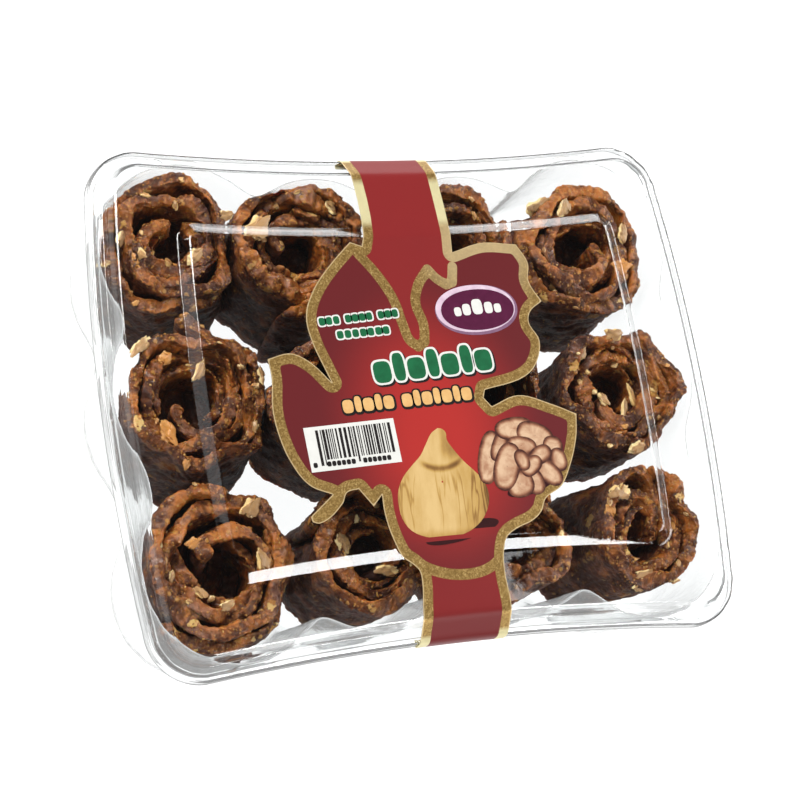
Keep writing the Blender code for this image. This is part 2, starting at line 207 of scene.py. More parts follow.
# Walnut pieces, one by one: place, half length, breadth and depth (mm), heading and tilt (degrees),
# and how far they are soaked in syrup.
WALNUTS = (
    (-44.0, 53.3, 44.3, 5.4, 3.4, 1.6, 35, 20, 0.0), (-38.7, 35.8, 39.5, 3.4, 2.4, 1.4, 80, 50, 0.0),
    (-31.7, 29.7, 27.0, 3.6, 2.2, 1.2, 10, 80, 0.0), (-18.9, 60.2, 43.0, 3.0, 2.0, 1.2, 120, 30, 0.0),
    (52.9, 61.4, 38.9, 5.6, 3.6, 1.5, 20, 35, 0.0), (60.5, 58.8, 43.4, 4.2, 2.4, 1.5, 60, 20, 0.0),
    (77.8, 38.2, 41.9, 3.8, 2.6, 1.8, 0, 20, 1.0), (80.2, 49.9, 43.4, 3.4, 2.4, 1.5, 75, 30, 0.0),
    (-86.9, 21.2, 43.6, 4.6, 1.8, 1.2, 45, 15, 0.0), (-77.5, -4.3, 40.9, 4.4, 3.0, 1.8, 110, 35, 1.0),
    (-67.5, 8.3, 40.9, 4.4, 1.5, 1.1, 60, 25, 0.0), (-48.4, 9.6, 39.9, 3.8, 1.8, 1.2, 95, 55, 0.0),
    (-78.0, 16.9, 42.4, 2.6, 1.8, 1.2, 20, 20, 1.0), (69.5, 15.5, 43.4, 4.6, 2.8, 1.5, 0, 25, 0.0),
    (57.8, 10.4, 41.4, 3.2, 1.8, 1.2, 50, 30, 0.0), (74.6, -2.2, 38.9, 4.6, 1.4, 1.0, 100, 45, 0.0),
    (70.6, -7.4, 38.4, 5.6, 1.4, 1.0, 75, 40, 0.0), (71.1, -20.5, 41.9, 3.4, 2.0, 1.2, 10, 40, 0.0),
    (63.4, -4.1, 39.9, 2.6, 1.6, 1.2, 130, 25, 0.0), (-58.9, -30.2, 43.9, 4.2, 2.6, 1.4, 35, 20, 0.0),
    (-57.2, -45.1, 42.4, 4.6, 2.8, 1.5, 95, 30, 0.0), (-69.4, -55.6, 43.9, 3.4, 1.6, 1.2, 20, 20, 0.0),
    (-76.7, -51.5, 41.9, 2.6, 1.8, 1.2, 140, 30, 0.0), (-87.5, -43.4, 41.9, 2.8, 1.6, 1.2, 85, 40, 0.0),
    (-77.6, -38.1, 41.9, 2.8, 1.6, 1.1, 20, 30, 1.0), (61.2, -34.4, 43.6, 4.4, 2.6, 1.4, 15, 20, 0.0),
    (57.3, -39.8, 41.9, 3.2, 2.2, 1.4, 70, 35, 1.0), (66.1, -60.2, 40.9, 5.0, 1.5, 1.0, 5, 30, 0.0),
    (63.9, -63.7, 39.9, 3.8, 2.0, 1.2, 25, 50, 0.0), (-31.4, -28.2, 37.0, 6.2, 1.7, 1.0, 60, 50, 0.0),
    (-31.9, -42.5, 41.4, 3.8, 2.6, 1.2, 100, 30, 0.0), (-19.4, -52.5, 41.9, 4.2, 1.8, 1.2, 0, 30, 0.0),
    (-88.6, 51.9, 41.5, 3.4, 2.0, 1.4, 60, 55, 0.0), (-81.5, 46.0, 41.9, 3.0, 2.2, 1.4, 110, 25, 1.0),
    (-65.2, 46.9, 42.4, 3.6, 1.8, 1.2, 35, 25, 0.0), (-52.5, 58.5, 42.9, 3.0, 2.0, 1.2, 0, 30, 0.0),
)

# Label in mm on the plateau: leaf outline from the top band clockwise, and the gold veins.
LEAF_RIGHT = (
    (13.4, 41.0), (23.3, 43.7), (35.4, 42.9), (38.3, 36.8), (37.4, 31.0), (40.6, 24.4), (36.0, 21.2),
    (34.9, 18.0), (37.4, 12.0), (34.4, 4.3), (30.0, 0.9), (16.1, -2.4), (15.2, -4.8), (17.4, -7.6),
    (26.8, -4.7), (37.3, -8.0), (45.3, -11.6), (43.8, -18.6), (39.5, -28.1), (35.8, -33.3),
    (29.7, -36.8), (27.6, -40.4), (24.3, -42.9), (18.4, -45.0), (14.8, -47.2), (13.2, -51.6),
    (12.9, -57.0),
)
LEAF_LEFT = (
    (-13.8, -58.0), (-14.2, -54.6), (-15.9, -52.6), (-19.1, -50.0), (-21.4, -44.2), (-22.6, -36.8),
    (-22.5, -31.6), (-25.6, -34.8), (-29.4, -29.4), (-33.2, -30.2), (-35.0, -33.2),
    (-42.8, -38.4), (-44.9, -37.9), (-45.3, -36.3), (-37.6, -30.4),
    (-44.2, -27.2), (-48.8, -20.0), (-51.2, -11.6), (-51.8, -4.4), (-50.6, 5.0), (-50.9, 10.6),
    (-43.6, 11.9), (-38.2, 9.1), (-32.4, 2.6), (-34.0, 7.2), (-36.4, 14.8), (-37.2, 21.4),
    (-36.2, 25.8), (-32.5, 32.2), (-26.6, 38.7), (-19.5, 45.2), (-15.8, 43.8),
)
BAND_TOP = (-14.6, 13.9)
BAND_BOTTOM = (-14.4, 13.8)
VEIN_TOP = (
    (-17.5, 41.5), (-12.4, 34.6), (-8.6, 27.0), (-6.9, 19.0), (-5.6, 14.2), (-3.2, 12.0),
    (-0.8, 13.4), (-0.2, 18.6), (-1.6, 25.6), (0.2, 31.0), (4.2, 35.9), (6.3, 33.2), (9.4, 30.9),
    (11.6, 31.6), (12.6, 36.5),
)
VEIN_BOTTOM = (
    (-16.6, -50.2), (-12.6, -53.4), (-6.8, -55.8), (-0.4, -56.8), (6.3, -56.2), (10.5, -54.2),
    (13.6, -50.8),
)
# Pictures on the label (mm): the dried fig's outline, and the kernel's lobes as centre, half sizes
# and turn.
FIG_OUTLINE = (
    (-1.5, -13.1), (-3.8, -14.5), (-6.0, -17.5), (-8.4, -20.9), (-12.1, -24.1), (-15.2, -27.2),
    (-17.2, -30.7), (-17.9, -34.9), (-17.4, -39.2), (-15.2, -42.8), (-11.0, -45.0), (-5.6, -45.9),
    (-0.3, -45.5), (4.7, -43.7), (8.4, -40.8), (10.8, -36.8), (11.3, -32.9), (10.2, -29.6),
    (7.9, -26.6), (5.1, -23.6), (2.5, -19.9), (0.8, -16.7), (0.9, -14.6), (-0.2, -13.4),
)
KERNEL_LOBES = (
    (13.6, -23.0, 3.0, 7.0, -18), (17.6, -19.4, 1.9, 4.6, -30), (23.4, -14.8, 5.4, 2.9, 4),
    (30.0, -17.4, 5.2, 3.4, -22), (35.2, -21.3, 2.8, 2.9, -10), (36.4, -25.3, 2.3, 3.1, 8),
    (32.2, -28.9, 4.4, 2.7, -40), (27.2, -31.4, 2.6, 3.4, 12), (22.2, -31.8, 3.9, 3.4, 10),
    (24.8, -20.2, 4.2, 2.4, -8), (30.6, -23.4, 3.4, 2.3, 24), (27.0, -26.6, 3.4, 2.2, 34),
    (18.9, -26.2, 3.5, 6.4, -24), (24.2, -24.6, 2.0, 2.8, 16),
)
# Inks of the label's print: darkest and palest tone.
INK_SHADES = {
    "white": ((0.60, 0.60, 0.57), (0.66, 0.66, 0.63)),
    "black": ((0.010, 0.008, 0.008), (0.016, 0.013, 0.013)),
    "plum": ((0.065, 0.006, 0.030), (0.085, 0.009, 0.040)),
    "lilac": ((0.48, 0.34, 0.44), (0.62, 0.50, 0.58)),
    "mauve": ((0.15, 0.075, 0.13), (0.22, 0.12, 0.19)),
    "pale_gold": ((0.56, 0.31, 0.11), (0.66, 0.42, 0.17)),
    "shadow": ((0.022, 0.003, 0.004), (0.035, 0.005, 0.006)),
}
INK_ROUGHNESS = 0.38
PAPER = 0.2 * MM
PAPER_GAP = 0.12 * MM
PRINT_GAP = 0.04 * MM
INK = 0.03 * MM
LABEL_TUCK = 2.2 * MM
LABEL_STEP = 0.95 * MM
# Where the label's section starts to bend, as a share of the plateau's half width, its points' gaps
# and how often they are evened out.
BEND_START = 0.85
BEND_STEP = 0.45 * MM
BEND_ROUNDS = 6
# Where the band is straight again beyond the leaf, behind and in front (mm).
BAND_BACK, BAND_FRONT = 48.0, -66.0
CURVE_STEPS = 6
VEIN_STEP = 0.4 * MM
# The dried fig's foot, height, middle, lean and half breadth, for its shading (mm).
FIG_FOOT, FIG_HEIGHT = -45.9, 32.8
FIG_MIDDLE, FIG_LEAN, FIG_HALF = -4.2, 2.9, 14.4
LOBE_GROWTH = 1.2
HEX_ROW = math.sqrt(0.75)
SHARP_TURN = math.radians(48.0)

# Camera, from the target that it looks at. Azimuth 0 looks along +Y.
CAMERA_TARGET = (-8.05 * MM, -1.77 * MM, 45.9 * MM)
CAMERA_DISTANCE = 0.6322
CAMERA_AZIMUTH = math.radians(-61.01)
CAMERA_ELEVATION = math.radians(62.03)
CAMERA_ROLL = math.radians(54.33)
CAMERA_SENSOR = 36.0

# Soft lights: name, place, breadth and height (m), share of the key's power, and colour.
LIGHTS = (
    ("key_light", (-0.56, 0.62, 0.84), (0.6, 0.45), 1.0, (1.0, 0.98, 0.95)),
    ("fill_light", (0.92, -0.18, 0.78), (0.5, 0.5), 0.3, (1.0, 1.0, 1.0)),
    ("front_strip", (0.352, -0.775, 0.43), (0.16, 0.22), 0.115, (1.0, 1.0, 1.0)),
    ("right_panel", (0.78, 0.18, 0.36), (0.5, 0.2), 0.2, (1.0, 1.0, 1.0)),
    ("top_strip", (0.40, 0.045, 0.87), (0.3, 0.06), 0.012, (1.0, 1.0, 1.0)),
    ("left_panel", (-0.82, 0.24, 0.62), (0.3, 0.5), 0.03, (1.0, 1.0, 1.0)),
    ("back_panel", (0.38, 0.92, 0.10), (0.7, 0.22), 0.12, (1.0, 1.0, 1.0)),
)
FLOOR_GLOW = 1.12
FLOOR_SIZE = 6.0
FLOOR_GAP = 0.3 * MM


def length_setting(name, description, default, low, high):
    return FloatProperty(name=name, description=description, default=default, min=low, max=high,
                         subtype="DISTANCE", unit="LENGTH")


def colour_setting(name, description, default):
    return FloatVectorProperty(name=name, description=description, default=default, size=3,
                               subtype="COLOR", min=0.0, max=1.0)


class ClearPackSettings(bpy.types.PropertyGroup):
    """Sizes and tint of the clear plastic."""
    wall: length_setting("Wall", "Thickness of lid and tray", 0.5 * MM, 0.2 * MM, 0.6 * MM)
    tint: colour_setting("Tint", "Colour of the plastic", (0.975, 0.985, 0.985))
    tray_haze: FloatProperty(name="Tray haze", description="Roughness of the tray", default=0.06,
                             min=0.0, max=1.0, subtype="FACTOR")


class FigRollSettings(bpy.types.PropertyGroup):
    """Sizes and colours of the fig rolls."""
    strip: length_setting("Strip", "Thickness of the rolled strip", 3.5 * MM, 1.0 * MM, 4.0 * MM)
    seeds: IntProperty(name="Seeds", description="Seeds on each roll", default=520, min=0, max=600)
    chips: IntProperty(name="Walnut chips", description="Small walnut chips on each roll", default=9,
                       min=0, max=60)
    # The dark colour is the paste's darkest tone and also the colour of the painted shade in folds and
    # hollows.
    dark: colour_setting("Dark paste", "Colour in folds and hollows", (0.024, 0.005, 0.0018))
    # The amber colour serves the paste's own amber patches and the painted glow of light through the inner
    # faces.
    amber: colour_setting("Amber paste", "Colour of lit edges", (0.44, 0.14, 0.018))
    walnut: colour_setting("Walnut", "Colour of broken walnut", (0.82, 0.55, 0.21))


class LabelSettings(bpy.types.PropertyGroup):
    """Sizes and colours of the paper label."""
    border: length_setting("Gold border", "Width of the gold edge", 3.1 * MM, 0.5 * MM, 8.0 * MM)
    red: colour_setting("Red", "Middle of the label", (0.38, 0.022, 0.018))
    maroon: colour_setting("Maroon", "Outer parts of the label", (0.112, 0.012, 0.014))
    green: colour_setting("Green", "Heading ornaments", (0.009, 0.105, 0.04))


class StageSettings(bpy.types.PropertyGroup):
    """Camera and light."""
    lens: FloatProperty(name="Lens", description="Focal length in mm on a 36 mm sensor", default=95.94,
                        min=20.0, max=300.0)
    key: FloatProperty(name="Key light", description="Power of the main soft light in watts",
                       default=14.0, min=0.0, max=200.0)
    sky: FloatProperty(name="Surround", description="Brightness of the pale surround", default=0.45,
                       min=0.0, max=5.0)


def select_only(item):
    """Makes one object the only selected one, and the active one."""
    bpy.ops.object.select_all(action="DESELECT")
    item.select_set(True)
    bpy.context.view_layer.objects.active = item


def add_primitive(operator, **sizes):
    """Adds a basic shape and gives it."""
    bpy.ops.object.select_all(action="DESELECT")
    operator(**sizes)
    return bpy.context.active_object


def edit_whole(item, *steps):
    """Runs each step in edit mode, with all of one object's points selected."""
    select_only(item)
    bpy.ops.object.mode_set(mode="EDIT")
    bpy.ops.mesh.select_mode(type="VERT")
    for step in steps:
        bpy.ops.mesh.select_all(action="SELECT")
        step()
    bpy.ops.mesh.select_all(action="DESELECT")
    bpy.ops.object.mode_set(mode="OBJECT")


def turn_outwards():
    bpy.ops.mesh.normals_make_consistent(inside=False)


def join_parts(parts):
    """Joins objects into the first of them."""
    select_only(parts[0])
    for part in parts:
        part.select_set(True)
    if len(parts) > 1:
        bpy.ops.object.join()
    return parts[0]


def link_mesh(mesh):
    """A new object for a mesh, of the same name."""
    item = bpy.data.objects.new(mesh.name, mesh)
    bpy.context.scene.collection.objects.link(item)
    return item


def add_grid(name, columns, rows):
    """A flat grid to lay along a surface, with each point's row and column."""
    item = add_primitive(bpy.ops.mesh.primitive_grid_add, x_subdivisions=columns,
                         y_subdivisions=rows, size=1.0)
    item.name = name
    item.data.name = name
    flat = mesh_points(item)
    column = np.rint((flat[:, 0] + 0.5) * columns).astype(int)
    row = np.rint((flat[:, 1] + 0.5) * rows).astype(int)
    return item, row, column


def mesh_points(item):
    flat = np.empty(len(item.data.vertices) * 3, np.float32)
    item.data.vertices.foreach_get("co", flat)
    return flat.reshape(-1, 3)


def set_points(item, points):
    item.data.vertices.foreach_set("co", np.ascontiguousarray(points, np.float32).ravel())
    item.data.update()


def paint_points(item, name, values):
    """Keeps one number a point, for the materials to read."""
    layer = item.data.attributes.new(name, "FLOAT", "POINT")
    layer.data.foreach_set("value", np.ascontiguousarray(values, np.float32).ravel())


def paint_map(item, name, places):
    """Keeps a flat map of the surface, from one pair of numbers a point."""
    loops = np.empty(len(item.data.loops), np.int32)
    item.data.loops.foreach_get("vertex_index", loops)
    layer = item.data.uv_layers.new(name=name)
    layer.data.foreach_set("uv", np.ascontiguousarray(places[loops], np.float32).ravel())


def press_relief(item, kind, size, depth, middle, group=""):
    """Pushes a surface out and in by a procedural texture."""
    texture = bpy.data.textures.new(f"{item.name}_{kind}", kind)
    texture.noise_scale = size
    relief = item.modifiers.new("relief", "DISPLACE")
    relief.texture = texture
    relief.texture_coords = "LOCAL"
    relief.strength = depth
    relief.mid_level = middle
    relief.vertex_group = group
    select_only(item)
    bpy.ops.object.modifier_apply(modifier=relief.name)


def close_surface(item, fill=True):
    """Merges doubles, closes the open ends where asked and turns the faces outwards."""
    steps = [partial(bpy.ops.mesh.remove_doubles, threshold=HAIR)]
    if fill:
        steps.append(partial(bpy.ops.mesh.fill_holes, sides=0))
    edit_whole(item, *steps, turn_outwards)


def give_wall(item, thickness, offset):
    wall = item.modifiers.new("wall", "SOLIDIFY")
    wall.thickness = thickness
    wall.offset = offset
    select_only(item)
    bpy.ops.object.modifier_apply(modifier=wall.name)


def finish_piece(item, material, nodes=()):
    """Gives a piece its material and fixes it to the pack."""
    item.data.materials.clear()
    item.data.materials.append(material)
    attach(item, "root")
    if nodes:
        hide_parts(*nodes)


def drift(points, pitch, draw):
    """A smooth random number at each point, about -1 to 1, from a few crossed waves."""
    total = np.zeros(points.shape[:-1])
    for _ in range(DRIFT_WAVES):
        way = Vector((draw.gauss(0, 1), draw.gauss(0, 1), draw.gauss(0, 1))).normalized()
        stretch = draw.uniform(0.7, 1.5) * FULL_TURN / pitch
        total += np.sin(points @ np.array(way) * stretch + draw.uniform(0, FULL_TURN))
    return total * DRIFT_GAIN / DRIFT_WAVES


def running_length(points):
    """How far along a line each of its points lies."""
    steps = np.linalg.norm(np.diff(points, axis=0), axis=1)
    return np.concatenate([[0.0], np.cumsum(steps)])


def bowed_outline(half_x, half_y, corner, sag, bulge, span):
    """Points round a box with bowed sides and round corners, anticlockwise from its right side."""
    side_steps, long_steps, corner_steps = span
    flat_x = half_x - corner
    flat_y = half_y - corner
    side = np.arange(side_steps) * 2.0 / side_steps - 1.0
    long = np.arange(long_steps) * 2.0 / long_steps - 1.0
    turn = np.arange(corner_steps) * 0.5 * math.pi / corner_steps
    bow_out = bulge * (1.0 - side * side)
    bow_in = sag * (1.0 - long * long)

    def arc(centre_x, centre_y, start):
        return np.stack([centre_x + corner * np.cos(turn + start),
                         centre_y + corner * np.sin(turn + start)], 1)

    return np.concatenate([
        np.stack([half_x + bow_out, side * flat_y], 1), arc(flat_x, flat_y, 0.0),
        np.stack([-long * flat_x, half_y - bow_in], 1), arc(-flat_x, flat_y, 0.5 * math.pi),
        np.stack([-half_x - bow_out, -side * flat_y], 1), arc(-flat_x, -flat_y, math.pi),
        np.stack([long * flat_x, bow_in - half_y], 1), arc(flat_x, -flat_y, 1.5 * math.pi),
    ])


def rim_outline(inset):
    return bowed_outline(RIM_HALF_LENGTH - inset, RIM_HALF_WIDTH - inset, RIM_CORNER - inset,
                         RIM_SAG, RIM_BULGE, RIM_SPAN)


def plateau_outline(outset):
    return bowed_outline(PLATEAU_HALF_LENGTH + outset, PLATEAU_HALF_WIDTH + outset,
                         PLATEAU_CORNER + outset, PLATEAU_SAG, PLATEAU_BULGE, RIM_SPAN)


def lobe_field(points):
    """Smooth distance outside the tray's lobes, negative inside, and the way out from them."""
    lobes = list(LOBES) + [(-x, y, radius) for x, y, radius in LOBES if x > 0]
    circles = np.array(lobes) * MM
    away = points[..., None, :2] - circles[:, :2]
    reach = np.linalg.norm(away, axis=-1) + 1e-9
    pull = np.exp((circles[:, 2] - reach) / LOBE_BLEND)
    total = pull.sum(-1)
    way = (pull[..., None] * away / reach[..., None]).sum(-2) / total[..., None]
    return -LOBE_BLEND * np.log(total), way


def lobe_outline(inset, directions):
    """The lobed outline met by a ray from the middle towards each point of the rim."""
    inner = np.full(len(directions), 0.5)
    outer = np.full(len(directions), 1.05)
    for _ in range(LOBE_SEARCH):
        middle = 0.5 * (inner + outer)
        inside = lobe_field(directions * middle[:, None])[0] < -inset
        inner = np.where(inside, middle, inner)
        outer = np.where(inside, outer, middle)
    return directions * inner[:, None]


def ring_shell(name, rings):
    """A surface through stacked rings, each an outline and its height."""
    count = len(rings[0][0])
    item, row, column = add_grid(name, count, len(rings) - 1)
    stack = np.zeros((len(rings), count + 1, 3))
    for index, (outline, height) in enumerate(rings):
        stack[index, :count, :2] = outline
        stack[index, count, :2] = outline[0]
        stack[index, :, 2] = height
    set_points(item, stack[row, column])
    return item


def cap_ring(item, height):
    """Merges the grid's seam and fills the open ring at one height."""
    edit_whole(item, partial(bpy.ops.mesh.remove_doubles, threshold=0.005 * MM))
    for vertex in item.data.vertices:
        vertex.select = abs(vertex.co.z - height) < HAIR
    bpy.ops.object.mode_set(mode="EDIT")
    bpy.ops.mesh.edge_face_add()
    bpy.ops.object.mode_set(mode="OBJECT")
    edit_whole(item, turn_outwards)


class NodeBench:
    """Places the nodes of one tree and links them."""

    def __init__(self, tree):
        self.tree = tree

    def add(self, kind, inputs=None, **settings):
        node = self.tree.nodes.new(f"ShaderNode{kind}")
        for name, value in settings.items():
            setattr(node, name, value)
        self.feed(node, inputs or {})
        return node

    def feed(self, node, inputs):
        """Links or sets some of a node's inputs."""
        for name, value in inputs.items():
            socket = node.inputs[name]
            if isinstance(value, bpy.types.NodeSocket):
                self.tree.links.new(value, socket)
            elif socket.type == "RGBA" and len(value) == 3:
                socket.default_value = (*value, 1.0)
            else:
                socket.default_value = value

    def maths(self, operation, first, *others):
        """The same operation with each further term in turn."""
        for other in others or (0.0,):
            first = self.add("Math", {0: first, 1: other}, operation=operation).outputs[0]
        return first

    def product(self, *terms):
        return self.maths("MULTIPLY", *terms)

    def total(self, *terms):
        """Adds up terms. A pair stands for a value and its share."""
        parts = [self.product(*term) if isinstance(term, tuple) else term for term in terms]
        return self.maths("ADD", *parts)

    def most(self, *terms):
        return self.maths("MAXIMUM", *terms)

    def rest(self, value):
        """What a share leaves of 1."""
        return self.maths("SUBTRACT", 1.0, value)

    def away(self, value, level):
        """How far a value is from a level, either way."""
        return self.maths("ABSOLUTE", self.maths("SUBTRACT", value, level))

    def step(self, value, low, high):
        """0 at low and 1 at high, smoothly between."""
        node = self.add("MapRange", {"Value": value, "From Min": low, "From Max": high},
                        interpolation_type="SMOOTHSTEP")
        return node.outputs[0]

    def blend(self, share, first, second):
        return self.add("Mix", {0: share, 6: first, 7: second}, data_type="RGBA").outputs[2]

    def layers(self, colour, *coats):
        """Lays further colours over one, each by its share."""
        for share, coat in coats:
            colour = self.blend(share, colour, coat)
        return colour

    def ramp(self, value, *stops):
        node = self.add("ValToRGB", {0: value})
        elements = node.color_ramp.elements
        while len(elements) < len(stops):
            elements.new(1.0)
        for element, (place, colour) in zip(elements, stops):
            element.position = place
            element.color = (*colour, 1.0)
        return node.outputs[0]

    def number(self, name):
        return self.add("Attribute", attribute_name=name).outputs["Fac"]

    def flat_map(self, name):
        return self.add("UVMap", uv_map=name).outputs[0]

    def place(self):
        return self.add("TexCoord").outputs["Object"]

    def shared(self, build, place, scale):
        """The outputs of a shared effect at a place."""
        return self.add("Group", {"Vector": place, "Scale": scale}, node_tree=shared_group(build)).outputs

    def grain(self, vector, scale, detail=4.0, roughness=0.55, distortion=0.0):
        node = self.add("TexNoise", {"Vector": vector, "Scale": scale, "Detail": detail,
                                     "Roughness": roughness, "Distortion": distortion})
        return node.outputs["Fac"]

    def cells(self, vector, scale):
        """Scattered cells: the distance from each one's middle, and three numbers of its own."""
        node = self.add("TexVoronoi", {"Vector": vector, "Scale": scale})
        return node.outputs["Distance"], self.add("SeparateColor", {0: node.outputs["Color"]}).outputs

    def stretch(self, vector, scale, shift=(0.0, 0.0, 0.0)):
        return self.add("Mapping", {"Vector": vector, "Scale": scale, "Location": shift}).outputs[0]

    def reach(self, vector, scale, shift):
        """How far a place is from a point, once stretched and shifted."""
        moved = self.stretch(vector, scale, shift)
        return self.add("VectorMath", {0: moved}, operation="LENGTH").outputs["Value"]

    def bump(self, height, strength, distance):
        return self.add("Bump", {"Height": height, "Strength": strength, "Distance": distance}).outputs[0]


def new_material(name):
    """A material with its bench and its own shader."""
    material = bpy.data.materials.new(name)
    material.use_nodes = True
    return material, NodeBench(material.node_tree), material.node_tree.nodes["Principled BSDF"]


def shared_group(build):
    """A node group made once from a place and a scale, named after the function that builds it."""
    name = build.__name__.replace("_", " ")
    if name in bpy.data.node_groups:
        return bpy.data.node_groups[name]
    group = bpy.data.node_groups.new(name, "ShaderNodeTree")
    for label, kind in (("Vector", "NodeSocketVector"), ("Scale", "NodeSocketFloat")):
        group.interface.new_socket(label, in_out="INPUT", socket_type=kind)
    start, end = (group.nodes.new(f"NodeGroup{side}") for side in ("Input", "Output"))
    bench = NodeBench(group)
    results = build(bench, start.outputs["Vector"], start.outputs["Scale"])
    for label in results:
        kind = "NodeSocketColor" if label == "Color" else "NodeSocketFloat"
        group.interface.new_socket(label, in_out="OUTPUT", socket_type=kind)
    bench.feed(end, results)
    return group


def pulp_grain(bench, place, scale):
    """Minced pulp: uneven cells, fine grit and scattered tiny seeds."""
    gap, pick = bench.cells(place, scale)
    seeds = bench.product(bench.step(gap, 0.36, 0.2), bench.step(pick[0], 0.66, 0.7))
    mottle = bench.grain(place, bench.product(scale, 0.42), 5.0, 0.62, 0.4)
    grit = bench.grain(place, bench.product(scale, 3.2), 3.0, 0.6)
    height = bench.total((bench.rest(gap), 0.35), (mottle, 0.6), (grit, 0.22), (seeds, 0.3))
    return {"Height": height, "Mottle": mottle, "Seeds": seeds}


def gold_foil(bench, place, scale):
    """Gold ink with a fine sparkle: colour, roughness and relief. The colour differs at random by cell, and
    its palest cells are painted glints.
    """
    pick = bench.cells(place, scale)[1][0]
    shade = bench.total((pick, 0.6), (bench.grain(place, 900.0, 3.0), 0.4))
    # The palest stop paints glints of sparkle into the colour.
    colour = bench.ramp(shade, (0.1, (0.20, 0.115, 0.034)), (0.5, (0.30, 0.185, 0.056)),
                        (0.78, (0.44, 0.29, 0.10)), (0.95, (0.80, 0.62, 0.30)))
    return {"Color": colour, "Roughness": bench.total(0.28, (pick, 0.2)), "Height": shade}


def film_ripple(bench, place, scale):
    """Slow waves and crinkles of thin formed plastic."""
    quick = bench.grain(place, bench.product(scale, 4.0), 3.0, 0.5, 0.6)
    return {"Height": bench.total(bench.grain(place, scale, 2.0, 0.4), (quick, 0.3))}


def clear_plastic(name, tint, roughness, clarity, ripple_scale, ripple, index, edge_shade_share, painted_glow=0.0):
    """Thin clear plastic, greyer edge on by painted shade, and with a painted glow at grazing angles where
    asked. Lamps and soft light pass straight through it.
    """
    material, bench, shader = new_material(name)
    # Painted shade: the base colour greys towards the edge tint at grazing angles.
    slant = bench.add("LayerWeight", {"Blend": 0.35}).outputs["Facing"]
    edge = tuple(edge_shade_share * value for value in tint)
    film = bench.shared(film_ripple, bench.place(), ripple_scale)
    bench.feed(shader, {
        "Base Color": bench.blend(bench.step(slant, 0.5, 1.0), tint, edge), "Roughness": roughness,
        "IOR": index, "Transmission Weight": clarity,
        "Normal": bench.bump(film["Height"], ripple, 0.4 * MM)})
    # Painted glow: a faint emission of the tint at grazing angles, standing in for reflected light.
    if painted_glow:
        share = bench.add("LayerWeight", {"Blend": 0.25}).outputs["Fresnel"]
        bench.feed(shader, {"Emission Color": bench.blend(share, (0.0, 0.0, 0.0), tint),
                            "Emission Strength": painted_glow})
    rays = bench.add("LightPath").outputs
    soft = bench.most(rays["Is Shadow Ray"], rays["Is Diffuse Ray"])
    passing = bench.add("BsdfTransparent", {"Color": (0.97, 0.975, 0.975)})
    mixed = bench.add("MixShader", {0: soft, 1: shader.outputs[0], 2: passing.outputs[0]})
    bench.feed(material.node_tree.nodes["Material Output"], {"Surface": mixed.outputs[0]})
    return material


def walnut_flecks(bench, place):
    """Bits of walnut sunk in the paste: where they show, and their colour."""
    bent = bench.add("TexNoise", {"Vector": place, "Scale": 420.0, "Detail": 2.0}).outputs["Color"]
    bent = bench.add("VectorMath", {0: bent, "Scale": 0.0055}, operation="SCALE").outputs[0]
    bent = bench.add("VectorMath", {0: place, 1: bent}, operation="ADD").outputs[0]
    gap, pick = bench.cells(bent, 210.0)
    size = bench.total(0.1, (pick[1], 0.32))
    fleck = bench.product(bench.step(bench.maths("SUBTRACT", gap, size), 0.04, -0.04),
                          bench.step(pick[0], 0.68, 0.7))
    nut = bench.ramp(pick[2], (0.0, (0.36, 0.15, 0.025)), (0.5, (0.56, 0.28, 0.06)),
                     (1.0, (0.80, 0.54, 0.2)))
    return fleck, nut


